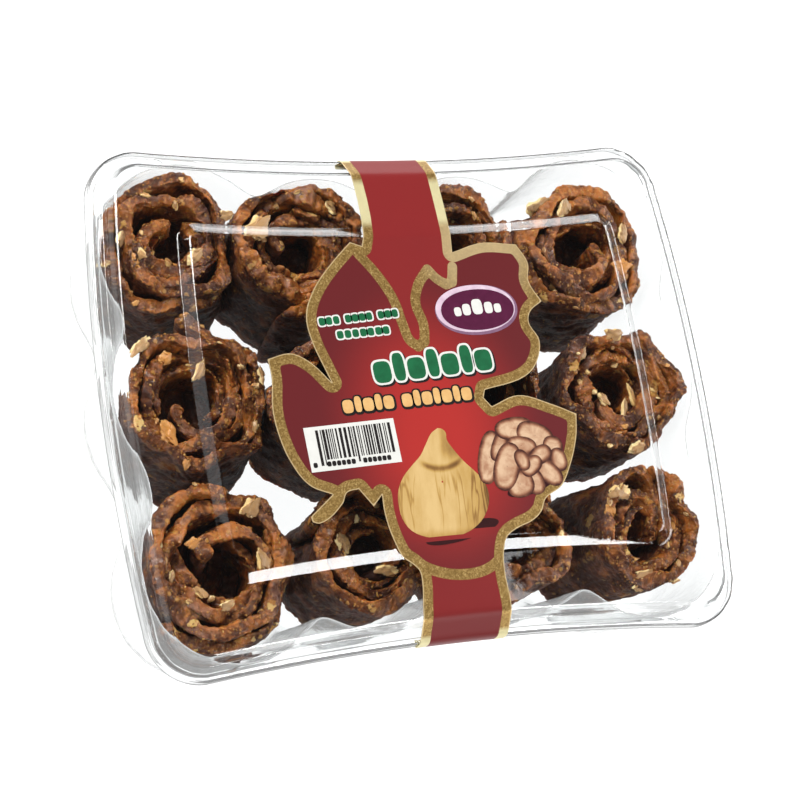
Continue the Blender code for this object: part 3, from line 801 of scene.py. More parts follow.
def paste_colour(bench, settings, place, tone, marks, hairs, seeds, fleck, nut):
    """Amber cut edges, amber patches, bruises, pale fibres, sunk walnut and seeds, with painted shade in the
    folds and depths, a painted amber glow of light through the inner faces near the top, and painted sheen
    on the outer faces.
    """
    cut, _, depth, inner, warm = marks
    patch = bench.grain(place, 130.0, 3.0, 0.5)
    bruise = bench.grain(bench.stretch(place, (1.0, 1.0, 1.0), (0.4, 0.2, 0.1)), 95.0, 3.0, 0.55)
    # Painted sheen: patches of the outer faces where pale streaks stand in for reflected light.
    painted_sheen = bench.product(bench.step(patch, 0.42, 0.6), bench.rest(inner))
    outside = bench.ramp(tone, (0.34, settings.dark), (0.45, (0.042, 0.010, 0.005)),
                         (0.56, (0.088, 0.023, 0.011)), (0.68, (0.21, 0.078, 0.040)))
    inside = bench.ramp(tone, (0.34, settings.dark), (0.45, (0.064, 0.010, 0.001)),
                        (0.56, (0.19, 0.037, 0.003)), (0.69, (0.48, 0.14, 0.012)))
    edge = bench.ramp(tone, (0.36, (0.018, 0.004, 0.002)), (0.47, (0.056, 0.011, 0.003)),
                      (0.57, (0.132, 0.030, 0.006)), (0.68, (0.46, 0.17, 0.038)))
    sore = bench.ramp(tone, (0.36, (0.022, 0.008, 0.006)), (0.55, (0.105, 0.045, 0.034)),
                      (0.7, (0.22, 0.12, 0.09)))
    # Painted light: an amber glow on the inner faces near the top, where light would shine through the
    # paste.
    lit = bench.product(inner, bench.step(depth, 0.32, 0.02), bench.step(patch, 0.36, 0.56), 0.55)
    return bench.layers(
        outside, (inner, inside), (cut, edge),
        (bench.product(bench.step(patch, 0.5, 0.62), bench.step(warm, 0.3, 0.8), 0.6), settings.amber),
        (lit, settings.amber),
        (bench.product(bench.step(bruise, 0.5, 0.6), bench.total(0.75, (inner, -0.45))), sore),
        (bench.product(bench.step(patch, 0.54, 0.4), 0.6), (0.045, 0.012, 0.005)),
        # Pale hairlines: real fibres, strengthened by painted sheen on the outer faces.
        (bench.product(bench.step(hairs, 0.52, 0.68), bench.total(0.12, (painted_sheen, 0.5))), (0.36, 0.22, 0.155)),
        (bench.product(fleck, bench.total(0.45, (cut, 0.4))), nut),
        (bench.product(seeds, bench.total(0.3, (cut, 0.35))), (0.55, 0.27, 0.06)),
        # Painted shade: the paste darkens towards the dark colour with depth down the strip, more on the
        # inner faces.
        (bench.product(bench.step(depth, 0.04, 0.5), bench.total(0.35, (inner, 0.4))), settings.dark),
    )


def fig_paste(settings):
    """Sticky minced fig: painted shade in its folds, amber and grainy along its cut edges."""
    material, bench, shader = new_material("fig_paste")
    place = bench.place()
    marks = [bench.number(name) for name in PASTE_MARKS]
    pulp, coarse = (bench.shared(pulp_grain, place, scale) for scale in (900.0, 430.0))
    hairs = bench.grain(bench.stretch(bench.flat_map("strip"), (160.0, 1300.0, 1.0)), 1.0, 6.0, 0.75, 1.5)
    # Relief shifts the tone: raised grain lighter, and its hollows darker as painted shade.
    tone = bench.total((pulp["Mottle"], 0.6), (coarse["Mottle"], 0.4), (marks[1], 0.14), (marks[4], 0.06))
    seeds = bench.most(pulp["Seeds"], coarse["Seeds"])
    fleck, nut = walnut_flecks(bench, place)
    height = bench.total(pulp["Height"], (coarse["Height"], 1.2), (hairs, 0.6), (fleck, 0.5))
    bench.feed(shader, {
        "Base Color": paste_colour(bench, settings, place, tone, marks, hairs, seeds, fleck, nut),
        "Roughness": bench.total(0.13, (coarse["Mottle"], 0.4)), "Normal": bench.bump(height, 1.0, 0.5 * MM),
        "Specular IOR Level": 0.28, "Subsurface Weight": 0.35, "Subsurface Radius": (1.0, 0.3, 0.06),
        "Subsurface Scale": 3.0 * MM, "Coat Weight": 0.15, "Coat Roughness": 0.1})
    return material


def seed_husk():
    """Golden fig seeds, each of its own tone."""
    material, bench, shader = new_material("fig_seed")
    speck = bench.grain(bench.place(), 1800.0, 2.0)
    mixed = bench.total((bench.number("tone"), 0.75), (speck, 0.3))
    bench.feed(shader, {
        "Base Color": bench.ramp(mixed, (0.1, (0.13, 0.040, 0.009)), (0.45, (0.29, 0.115, 0.022)),
                                 (0.8, (0.46, 0.23, 0.055)), (1.0, (0.70, 0.46, 0.17))),
        "Roughness": 0.35, "Specular IOR Level": 0.25, "Coat Weight": 0.1,
        "Normal": bench.bump(speck, 0.3, 0.2 * MM)})
    return material


def walnut_flesh(settings):
    """Broken walnut: pale flesh with thin brown skin in patches, wet with syrup in places."""
    material, bench, shader = new_material("walnut_flesh")
    place = bench.place()
    fine = bench.grain(place, 900.0, 5.0, 0.65)
    pulp = bench.shared(pulp_grain, place, 380.0)
    flesh = bench.ramp(bench.total((fine, 0.6), (bench.number("tone"), 0.4)), (0.2, (0.55, 0.30, 0.10)),
                       (0.45, settings.walnut), (0.8, (0.91, 0.74, 0.40)))
    husk = bench.ramp(pulp["Mottle"], (0.3, (0.16, 0.055, 0.015)), (0.7, (0.42, 0.19, 0.055)))
    where = bench.step(bench.total(bench.number("skin"), (pulp["Mottle"], 0.7)), 0.95, 1.15)
    bench.feed(shader, {
        "Base Color": bench.layers(flesh, (bench.product(where, 0.8), husk),
                                   (bench.product(bench.number("syrup"), 0.85), (0.55, 0.22, 0.035))),
        "Roughness": bench.total(0.3, (fine, 0.3)), "Normal": bench.bump(pulp["Height"], 0.5, 0.5 * MM),
        "Subsurface Weight": 0.15, "Subsurface Radius": (1.0, 0.6, 0.25), "Subsurface Scale": 1.5 * MM,
        "Coat Weight": 0.2, "Coat Roughness": 0.2})
    return material


def label_paper(settings):
    """Satin printed paper, red in the middle and maroon outside, with gold foil border and veins. The foil
    carries painted highlights: a bright patch up on the right, a pale line along the outline, and pale
    painted reflections where the band bends over the lid.
    """
    material, bench, shader = new_material("label_paper")
    place = bench.place()
    foil = bench.shared(gold_foil, place, 2600.0)
    margin = bench.number("edge")
    rim = bench.step(margin, settings.border + 0.06 * MM, settings.border - 0.06 * MM)
    gold = bench.most(rim, bench.step(bench.number("vein"), 1.62 * MM, 1.5 * MM))
    glow = bench.step(bench.reach(place, (1.0, 0.75, 1.0), (0.002, 0.011, -0.054)), 0.038, 0.006)
    glow = bench.most(glow, bench.product(bench.number("band"), 0.34))
    ink = bench.layers(settings.maroon, (glow, settings.red),
                       (bench.product(bench.grain(place, 70.0, 2.0), 0.16), (0.10, 0.01, 0.015)))
    fibre = bench.grain(place, 1500.0, 3.0)
    # Painted highlight: a bright patch on the gold up on the right, and a pale line along the outline.
    painted_highlight = bench.step(bench.reach(place, (1.0, 1.0, 1.0), (-0.022, -0.043, -0.054)), 0.026, 0.008)
    painted_highlight = bench.most(bench.product(painted_highlight, 0.75), bench.step(margin, 0.36 * MM, 0.2 * MM))
    # Painted reflection: pale bands on the gold where the band bends over the lid's bevel and rim behind,
    # and down the skirt in front.
    spot = bench.add("SeparateXYZ", {0: place})
    back = bench.step(spot.outputs[1], -1.0 * MM, 1.0 * MM)
    level = bench.maths("SUBTRACT", spot.outputs[2], RIM_HEIGHT)
    bend = bench.step(bench.away(level, 6.7 * MM), 1.3 * MM, 0.8 * MM)
    bend = bench.product(bench.most(bend, bench.step(level, 0.9 * MM, 0.1 * MM)), back)
    skirt = bench.product(bench.step(level, 1.6 * MM, 0.2 * MM), bench.rest(back))
    foil_and_highlights = bench.layers(foil["Color"], (painted_highlight, (0.66, 0.50, 0.27)),
                             (bench.product(bench.most(bend, skirt), 0.9), (0.88, 0.80, 0.46)))
    satin = bench.total(0.34, (fibre, 0.08))
    height = bench.total((fibre, 0.15), (foil["Height"], gold))
    bench.feed(shader, {
        "Base Color": bench.blend(gold, ink, foil_and_highlights), "Metallic": bench.product(gold, 0.5),
        "Roughness": bench.add("Mix", {0: gold, 2: satin, 3: foil["Roughness"]}).outputs[0],
        "Specular IOR Level": 0.22, "Normal": bench.bump(height, 0.25, 0.1 * MM)})
    return material


def flat_ink(name, low, high):
    """One printed colour with a slight unevenness."""
    material, bench, shader = new_material(name)
    cloud = bench.grain(bench.place(), 350.0, 4.0)
    bench.feed(shader, {"Base Color": bench.ramp(cloud, (0.3, low), (0.7, high)), "Roughness": INK_ROUGHNESS,
                        "Specular IOR Level": 0.2, "Normal": bench.bump(cloud, 0.1, 0.05 * MM)})
    return material


def fig_ink():
    """Printed dried fig: tan, lit from the left, wrinkled below its fold and dark beside the stalk."""
    material, bench, shader = new_material("fig_ink")
    shape = bench.flat_map("shape")
    across, along = bench.add("SeparateXYZ", {0: shape}).outputs[:2]
    wide = bench.product(across, across)
    wrinkle = bench.grain(bench.stretch(shape, (4.2, 1.1, 1.0)), 1.0, 2.0, 0.45, 0.5)
    lines = bench.product(bench.step(bench.away(wrinkle, 0.5), 0.045, 0.0), bench.step(along, 0.66, 0.5),
                          bench.step(along, 0.0, 0.2))
    soft = bench.grain(bench.stretch(shape, (3.2, 2.2, 1.0), (3.0, 1.0, 0.0)), 1.0, 5.0, 0.6)
    fold = bench.step(bench.away(along, bench.total(0.63, (wide, 0.3))), 0.05, 0.0)
    fold = bench.product(fold, bench.step(bench.maths("ABSOLUTE", across), 0.55, 0.3))
    stalk = bench.product(bench.step(along, 0.66, 0.8), bench.step(across, -0.04, 0.1))
    light = bench.total(0.84, (wide, -0.28), (across, -0.13), (bench.total(soft, -0.5), 0.6), (lines, -0.26),
                        (fold, -0.5), (stalk, -0.32), (bench.step(along, 0.1, 0.0), -0.3))
    tan = bench.ramp(light, (0.08, (0.06, 0.025, 0.008)), (0.36, (0.23, 0.115, 0.03)),
                     (0.62, (0.44, 0.27, 0.08)), (0.9, (0.58, 0.40, 0.17)))
    bench.feed(shader, {"Base Color": tan, "Roughness": INK_ROUGHNESS, "Specular IOR Level": 0.22})
    return material


def kernel_ink():
    """Printed walnut kernel: pale pinkish lobes with dark clefts between them."""
    material, bench, shader = new_material("kernel_ink")
    cloud = bench.grain(bench.place(), 260.0, 4.0, 0.6, 0.5)
    light = bench.total((bench.step(bench.number("edge"), 0.0, 1.7 * MM), 0.75), cloud, -0.36)
    pink = bench.ramp(light, (0.12, (0.055, 0.016, 0.011)), (0.45, (0.20, 0.078, 0.042)),
                      (0.74, (0.38, 0.20, 0.115)), (1.0, (0.58, 0.39, 0.25)))
    bench.feed(shader, {"Base Color": pink, "Roughness": INK_ROUGHNESS, "Specular IOR Level": 0.22})
    return material


def floor_paint(brightness):
    """Plain pale floor, luminous like a light table, though not as the sticky rolls mirror it."""
    material, bench, shader = new_material("pale_floor")
    cloud = bench.grain(bench.place(), 6.0, 2.0)
    rays = bench.add("LightPath").outputs
    inside = bench.product(bench.maths("MINIMUM", rays["Glossy Depth"], 1.0),
                           bench.maths("MINIMUM", rays["Transmission Depth"], 1.0))
    dim = bench.most(bench.product(inside, 0.85), bench.product(rays["Is Diffuse Ray"], 0.4))
    bench.feed(shader, {
        "Base Color": bench.ramp(cloud, (0.3, (0.1, 0.1, 0.102)), (0.7, (0.12, 0.12, 0.122))),
        "Roughness": 0.45, "Emission Color": bench.blend(dim, (1.0, 1.0, 1.0), (0.0, 0.0, 0.0)),
        "Emission Strength": brightness})
    return material


class FIGPACK_OT_stage(bpy.types.Operator):
    """Sets the camera, the soft light and the pale floor"""
    bl_idname = "figpack.stage"
    bl_label = "Stage"

    def execute(self, context):
        settings = context.scene.figpack_stage
        floor = add_primitive(bpy.ops.mesh.primitive_plane_add, size=FLOOR_SIZE,
                              location=(0.0, 0.0, -FLOOR_GAP))
        floor.name = "stage_floor"
        bpy.ops.object.transform_apply(location=True, rotation=False, scale=False)
        floor.data.materials.append(floor_paint(FLOOR_GLOW))
        self.set_camera(context, settings)
        for name, place, size, share, colour in LIGHTS:
            self.add_panel(name, place, size, settings.key * share, colour)
        self.set_surround(context, settings)
        context.scene.view_settings.view_transform = "Standard"
        return {"FINISHED"}

    def set_camera(self, context, settings):
        level = math.cos(CAMERA_ELEVATION)
        aim = Vector((-math.sin(CAMERA_AZIMUTH) * level, math.cos(CAMERA_AZIMUTH) * level,
                      -math.sin(CAMERA_ELEVATION)))
        level_right = Vector((aim.y, -aim.x, 0.0)).normalized()
        level_up = level_right.cross(aim)
        right = level_right * math.cos(CAMERA_ROLL) + level_up * math.sin(CAMERA_ROLL)
        up = right.cross(aim)
        place = Vector(CAMERA_TARGET) - aim * CAMERA_DISTANCE
        bpy.ops.object.camera_add(location=place)
        camera = context.active_object
        camera.name = "camera"
        turn = Matrix((right, up, -aim)).transposed().to_4x4()
        camera.matrix_world = Matrix.Translation(place) @ turn
        camera.data.sensor_width = CAMERA_SENSOR
        camera.data.lens = settings.lens
        context.scene.camera = camera

    def add_panel(self, name, place, size, power, colour):
        """A soft light that faces the pack."""
        bpy.ops.object.light_add(type="AREA", location=place)
        lamp = bpy.context.active_object
        lamp.name = name
        direction = Vector(place) - Vector((0.0, 0.0, PLATEAU_TOP))
        lamp.rotation_euler = direction.to_track_quat("Z", "Y").to_euler()
        lamp.data.shape = "RECTANGLE"
        lamp.data.size, lamp.data.size_y = size
        lamp.data.energy = power
        lamp.data.color = colour

    def set_surround(self, context, settings):
        world = context.scene.world or bpy.data.worlds.new("surround")
        context.scene.world = world
        world.use_nodes = True
        world.node_tree.nodes.clear()
        bench = NodeBench(world.node_tree)
        rays = bench.add("LightPath").outputs
        mirrored = bench.maths("MINIMUM", rays["Glossy Depth"], 1.0)
        strength = bench.product(settings.sky, bench.rest(bench.product(mirrored, 0.9)))
        through = bench.product(rays["Is Transmission Ray"], bench.rest(mirrored), 0.95)
        glow = bench.most(strength, through)
        ground = bench.add("Background", {"Color": (0.97, 0.985, 1.0), "Strength": glow})
        bench.add("OutputWorld", {"Surface": ground.outputs[0]})


class FIGPACK_OT_tray(bpy.types.Operator):
    """Forms the lobed tray from its floor up to the flange"""
    bl_idname = "figpack.tray"
    bl_label = "Clear tray"

    def execute(self, context):
        settings = context.scene.figpack_plastic
        directions = rim_outline(0.0)
        rings = [(lobe_outline(inset * MM, directions), height * MM) for inset, height in TRAY_LINES]
        flange = FLANGE_TOP - WALL
        outer, inner = rim_outline(FLANGE_INSET), lobe_outline(-FLANGE_REACH, directions)
        beyond = (np.abs(inner) > np.abs(outer)).any(1)[:, None]
        rings += [(lobe_outline(-0.4 * MM, directions), flange), (np.where(beyond, outer, inner), flange),
                  (outer, flange + HAIR)]
        item = ring_shell("clear_tray", rings)
        self.crumple(item)
        cap_ring(item, 0.0)
        give_wall(item, settings.wall, -1.0)
        bpy.ops.object.shade_smooth_by_angle(angle=math.radians(35.0))
        # The tray's plastic gets painted shade edge on and a painted glow at grazing angles.
        material = clear_plastic("clear_tray_plastic", settings.tint, settings.tray_haze, 0.96, 90.0, 0.5,
                                 index=1.3, edge_shade_share=0.7, painted_glow=0.12)
        finish_piece(item, material, ["tray"])
        return {"FINISHED"}

    def crumple(self, item):
        """Uneven walls, most of all low down, where the plastic was drawn thin."""
        points = mesh_points(item).astype(float)
        height = points[:, 2]
        share = np.clip(height / (6.0 * MM), 0.0, 1.0)
        share *= np.clip((FLANGE_TOP - 2.0 * MM - height) / (8.0 * MM), 0.0, 1.0)
        draw = random.Random(RANDOM_START)
        push = sum(drift(points, pitch * MM, draw) * depth * MM for pitch, depth in TRAY_WAVES)
        way = lobe_field(points)[1]
        points[:, :2] -= way * (np.abs(push) * share)[:, None]
        set_points(item, points)


class FIGPACK_OT_lid(bpy.types.Operator):
    """Forms the lid from its skirt over the rim and shoulder to the raised plateau"""
    bl_idname = "figpack.lid"
    bl_label = "Clear lid"

    def execute(self, context):
        settings = context.scene.figpack_plastic
        rings = [(rim_outline(inset * MM), RIM_HEIGHT + height * MM) for inset, height in LID_LINES]
        rings += self.shoulder(rings[-1][0])
        rings += [(plateau_outline(outset * MM), RIM_HEIGHT + height * MM) for outset, height in BEVEL_LINES]
        item = ring_shell("clear_lid", rings)
        self.crinkle(item)
        cap_ring(item, PLATEAU_TOP)
        give_wall(item, settings.wall, -1.0)
        bpy.ops.object.shade_smooth_by_angle(angle=math.radians(50.0))
        # The lid's plastic gets painted shade edge on.
        material = clear_plastic("clear_lid_plastic", settings.tint, 0.02, 1.0, 40.0, 0.1, index=1.46,
                                 edge_shade_share=0.55)
        finish_piece(item, material, ["lid"])
        return {"FINISHED"}

    def shoulder(self, outer):
        """The nearly flat stretch between the rim's step and the bevel's foot."""
        foot = plateau_outline(BEVEL_LINES[0][0] * MM)
        low, high = LID_LINES[-1][1], BEVEL_LINES[0][1]
        rings = []
        for share in (0.2, 0.4, 0.6, 0.8):
            height = RIM_HEIGHT + (low + share * (high - low)) * MM
            rings.append((outer * (1.0 - share) + foot * share, height))
        return rings

    def crinkle(self, item):
        """Small waves round the rim's corners, where the plastic bunches up."""
        points = mesh_points(item).astype(float)
        outward = np.abs(points[:, 0]) / RIM_HALF_LENGTH + np.abs(points[:, 1]) / RIM_HALF_WIDTH
        corner = np.clip((outward - CRINKLE_START) / CRINKLE_SPAN, 0, 1)
        rim = np.clip((RIM_HEIGHT + 4.6 * MM - points[:, 2]) / (1.5 * MM), 0.0, 1.0)
        rim *= np.clip((points[:, 2] - RIM_HEIGHT + 3.2 * MM) / (1.5 * MM), 0.0, 1.0)
        angle = np.arctan2(np.abs(points[:, 1]) - RIM_HALF_WIDTH + RIM_CORNER,
                           np.abs(points[:, 0]) - RIM_HALF_LENGTH + RIM_CORNER)
        wave = sum(np.sin(angle * rate + start) * share for rate, start, share in CRINKLES)
        points[:, 2] -= np.abs(wave) * CRINKLE_DEPTH * corner * rim
        set_points(item, points)


def curve_through(points, steps):
    """A smooth line through the points, straight into each sharp corner."""
    spots = [Vector(p) for p in points]
    ways = []
    for index, spot in enumerate(spots):
        before = (spot - spots[max(index - 1, 0)]).normalized()
        after = (spots[min(index + 1, len(spots) - 1)] - spot).normalized()
        ends = index in (0, len(spots) - 1)
        sharp = not ends and before.angle(after) > SHARP_TURN
        ways.append((before, after) if sharp or ends else ((before + after).normalized(),) * 2)
    line = []
    for index in range(len(spots) - 1):
        start, stop = spots[index], spots[index + 1]
        reach = (stop - start).length
        straight = (stop - start).normalized()
        leave = (ways[index][1] if ways[index][1].length else straight) * reach
        arrive = (ways[index + 1][0] if ways[index + 1][0].length else straight) * reach
        for step in range(steps):
            t = step / steps
            square, cube = t * t, t * t * t
            line.append(start * (2 * cube - 3 * square + 1) + leave * (cube - 2 * square + t)
                        + stop * (3 * square - 2 * cube) + arrive * (cube - square))
    line.append(spots[-1])
    return np.array([tuple(p) for p in line])


def split_line(line, reach):
    """The same line with no stretch longer than reach."""
    parts = []
    for start, stop in zip(line, line[1:]):
        count = max(1, int(math.ceil(np.linalg.norm(stop - start) / reach)))
        parts += [start + (stop - start) * step / count for step in range(count)]
    return np.array(parts + [line[-1]])


def line_distance(points, line):
    """Distance of each point from an open line of short stretches."""
    nearest = np.full(len(points), 1e9)
    for start, stop in zip(line, line[1:]):
        along = stop - start
        share = np.clip(((points - start) @ along) / max(along @ along, 1e-18), 0.0, 1.0)
        gap = np.linalg.norm(points - start - share[:, None] * along, axis=1)
        nearest = np.minimum(nearest, gap)
    return nearest


def nearest_line(points, lines):
    """Distance of each point from the nearer of two lines."""
    return np.minimum(line_distance(points, lines[0]), line_distance(points, lines[1]))


def inside_outline(points, outline):
    """Whether each point lies within a closed outline."""
    inside = np.zeros(len(points), bool)
    for (x0, y0), (x1, y1) in zip(outline, np.roll(outline, -1, 0)):
        crosses = (y0 > points[:, 1]) != (y1 > points[:, 1])
        if y0 != y1:
            reach = x0 + (points[:, 1] - y0) * (x1 - x0) / (y1 - y0)
            inside ^= crosses & (points[:, 0] < reach)
    return inside


def lid_section(x, sign):
    """The lid's section at one X, from the plateau's edge down to the skirt's foot, as (y, z)."""
    section = []
    for outset, height in reversed(BEVEL_LINES[:-1]):
        flat = PLATEAU_HALF_LENGTH - PLATEAU_CORNER
        sag = PLATEAU_SAG * (1.0 - min(1.0, (x / flat) ** 2))
        section.append((PLATEAU_HALF_WIDTH + outset * MM - sag, RIM_HEIGHT + height * MM))
    for inset, height in reversed(LID_LINES):
        flat = RIM_HALF_LENGTH - RIM_CORNER
        sag = RIM_SAG * (1.0 - min(1.0, (x / flat) ** 2))
        section.append((RIM_HALF_WIDTH - inset * MM - sag, RIM_HEIGHT + height * MM))
    return np.array(section) * np.array((sign, 1.0))


def label_section(x, sign):
    """Where the stretched label's underside runs: over the lid's high lines, down the skirt and under it."""
    tight = []
    for y, z in lid_section(x, 1.0):
        spot = np.array((y, z))
        while len(tight) > 1:
            first, second = tight[-1] - tight[-2], spot - tight[-1]
            if first[0] * second[1] - first[1] * second[0] < 0.0:
                break
            tight.pop()
        tight.append(spot)
    line = split_line(np.array(tight), BEND_STEP)
    for _ in range(BEND_ROUNDS):
        line[1:-1] = (line[:-2] + 2.0 * line[1:-1] + line[2:]) / 4.0
    along = np.gradient(line, axis=0)
    normal = np.stack([-along[:, 1], along[:, 0]], 1)
    normal /= np.linalg.norm(normal, axis=1)[:, None]
    line = line + normal * (PAPER_GAP + 0.08 * MM)
    start = np.array([[PLATEAU_HALF_WIDTH * BEND_START, PLATEAU_TOP + PAPER_GAP]])
    line = line[line[:, 0] > start[0, 0] + 1.0 * MM]
    line[line[:, 0] < PLATEAU_HALF_WIDTH - PLATEAU_SAG - 1.0 * MM, 1] = PLATEAU_TOP + PAPER_GAP
    foot = line[-1] + np.array([0.0, -0.3 * MM])
    tuck = foot + np.array([-LABEL_TUCK, -0.2 * MM])
    return np.concatenate([start, line, [foot], [tuck]]) * np.array((sign, 1.0))


def lay_on_lid(x, along):
    """The place on the lid of a point of the flat label."""
    sign = 1.0 if along > 0 else -1.0
    section = label_section(x, sign)
    start = abs(section[0][0])
    if abs(along) <= start:
        return (x, along, PLATEAU_TOP + PAPER_GAP)
    lengths = running_length(section)
    reach = min(abs(along) - start, lengths[-1])
    return (x, float(np.interp(reach, lengths, section[:, 0])),
            float(np.interp(reach, lengths, section[:, 1])))


def label_reach(sign):
    """How far the label goes from its middle line, over one rim and under it."""
    section = label_section(0.0, sign)
    return abs(section[0][0]) + running_length(section)[-1]


class FIGPACK_OT_label(bpy.types.Operator):
    """Cuts the leaf-shaped paper label and lays it over the lid"""
    bl_idname = "figpack.label"
    bl_label = "Paper label"

    def execute(self, context):
        outline, sides = self.cut_outline()
        points, faces = self.fill(outline)
        veins = [split_line(curve_through(np.array(line) * MM, CURVE_STEPS), VEIN_STEP)
                 for line in (VEIN_TOP, VEIN_BOTTOM)]
        mesh = bpy.data.meshes.new("label_sheet")
        mesh.from_pydata([lay_on_lid(x, y) for x, y in points], [], faces)
        mesh.update()
        item = link_mesh(mesh)
        paint_points(item, "edge", nearest_line(points, sides))
        paint_points(item, "vein", nearest_line(points, veins))
        paint_points(item, "band", self.band_part(points, veins))
        edit_whole(item, turn_outwards)
        if sum(face.normal.z for face in item.data.polygons) < 0.0:
            item.data.flip_normals()
        give_wall(item, PAPER, 1.0)
        bpy.ops.object.shade_smooth_by_angle(angle=math.radians(50.0))
        finish_piece(item, label_paper(context.scene.figpack_label), ["label"])
        return {"FINISHED"}

    def cut_outline(self):
        """The flat label's outline and its two long sides, which carry the gold border."""
        top, bottom = label_reach(1.0) / MM, -label_reach(-1.0) / MM
        right = [(BAND_TOP[1], top), (BAND_TOP[1], BAND_BACK), *LEAF_RIGHT,
                 (BAND_BOTTOM[1], BAND_FRONT), (BAND_BOTTOM[1], bottom)]
        left = [(BAND_BOTTOM[0], bottom), (BAND_BOTTOM[0], BAND_FRONT), *LEAF_LEFT,
                (BAND_TOP[0], BAND_BACK), (BAND_TOP[0], top)]
        sides = [split_line(curve_through(np.array(line) * MM, CURVE_STEPS), LABEL_STEP)
                 for line in (right, left)]
        outline = []
        for side, other in (sides, sides[::-1]):
            across = split_line(np.array([other[-1], side[0]]), LABEL_STEP)
            outline += [across[:-1], side[:-1]]
        return np.concatenate(outline), sides

    def fill(self, outline):
        """Points inside the outline on a triangular net, and the faces between them."""
        low, high = outline.min(0), outline.max(0)
        net = []
        for row in range(int((high[1] - low[1]) / (LABEL_STEP * HEX_ROW)) + 1):
            y = low[1] + row * LABEL_STEP * HEX_ROW
            x = np.arange(low[0] + (row % 2) * 0.5 * LABEL_STEP, high[0], LABEL_STEP)
            net.append(np.stack([x, np.full(len(x), y)], 1))
        net = np.concatenate(net)
        net = net[inside_outline(net, outline)]
        closed = np.concatenate([outline, outline[:1]])
        net = net[line_distance(net, closed) > 0.45 * LABEL_STEP]
        spots = [Vector(p) for p in np.concatenate([outline, net])]
        result = delaunay_2d_cdt(spots, [], [list(range(len(outline)))], 1, 1e-7)
        used = sorted({index for face in result[2] for index in face})
        renamed = {index: place for place, index in enumerate(used)}
        points = np.array([tuple(result[0][index]) for index in used])
        faces = [[renamed[index] for index in face] for face in result[2]]
        return points, faces

    def band_part(self, points, veins):
        """1 on the band's two ends, beyond the veins, and 0 on the leaf."""
        high = label_reach(1.0)
        top = np.concatenate([veins[0], [[BAND_TOP[1] * MM, high], [BAND_TOP[0] * MM, high]]])
        low = -label_reach(-1.0)
        bottom = np.concatenate([veins[1], [[BAND_BOTTOM[1] * MM, low], [BAND_BOTTOM[0] * MM, low]]])
        return (inside_outline(points, top) | inside_outline(points, bottom)).astype(float)


def oval(half_x, half_y, power, count=40):
    """A closed outline between a lozenge (power 1), an oval (2) and a box (over 6)."""
    angles = np.arange(count) * FULL_TURN / count
    return [(half_x * math.copysign(abs(math.cos(a)) ** (2.0 / power), math.cos(a)),
             half_y * math.copysign(abs(math.sin(a)) ** (2.0 / power), math.sin(a))) for a in angles]


def put(outline, centre, degrees):
    """An outline in mm turned and moved to its place on the label."""
    turn = math.radians(degrees)
    return [(centre[0] + x * math.cos(turn) - y * math.sin(turn),
             centre[1] + x * math.sin(turn) + y * math.cos(turn)) for x, y in outline]


def ink_height(layer):
    """Height of one layer of print over the label's paper."""
    return PLATEAU_TOP + PAPER_GAP + PAPER + PRINT_GAP * layer


def print_patches(name, outlines, layer, material):
    """Thin flat patches of ink that lie on the label, one for each outline in mm."""
    height = ink_height(layer)
    parts = []
    for outline in outlines:
        part = add_primitive(bpy.ops.mesh.primitive_circle_add, vertices=len(outline), radius=1.0,
                             fill_type="NGON")
        set_points(part, np.array([(x * MM, y * MM, height) for x, y in outline]))
        parts.append(part)
    item = join_parts(parts)
    item.name = name
    edit_whole(item, turn_outwards)
    if item.data.polygons[0].normal.z < 0:
        item.data.flip_normals()
    give_wall(item, INK, -1.0)
    bpy.ops.object.transform_apply(location=True, rotation=True, scale=True)
    finish_piece(item, material)
    return item


def block_row(blocks, start, stop, grow=0.0, shift=(0.0, 0.0)):
    """Rounded blocks on a base line, as half breadth and half height. A negative breadth is a gap."""
    start, line = np.array(start), np.array(stop) - np.array(start)
    turn = math.degrees(math.atan2(line[1], line[0]))
    up = np.array((-line[1], line[0])) / np.linalg.norm(line)
    total = sum(2.0 * abs(half) for half, _ in blocks)
    low = min(tall for _, tall in blocks)
    outlines, run = [], 0.0
    for half, tall in blocks:
        centre = start + line * (run + abs(half)) / total + up * (tall - low) + np.array(shift)
        run += 2.0 * abs(half)
        if half > 0.0:
            scale = np.linalg.norm(line) / total
            outlines.append(put(oval(half * 0.84 * scale + grow, tall + grow, 3.2, 28), centre, turn))
    return outlines


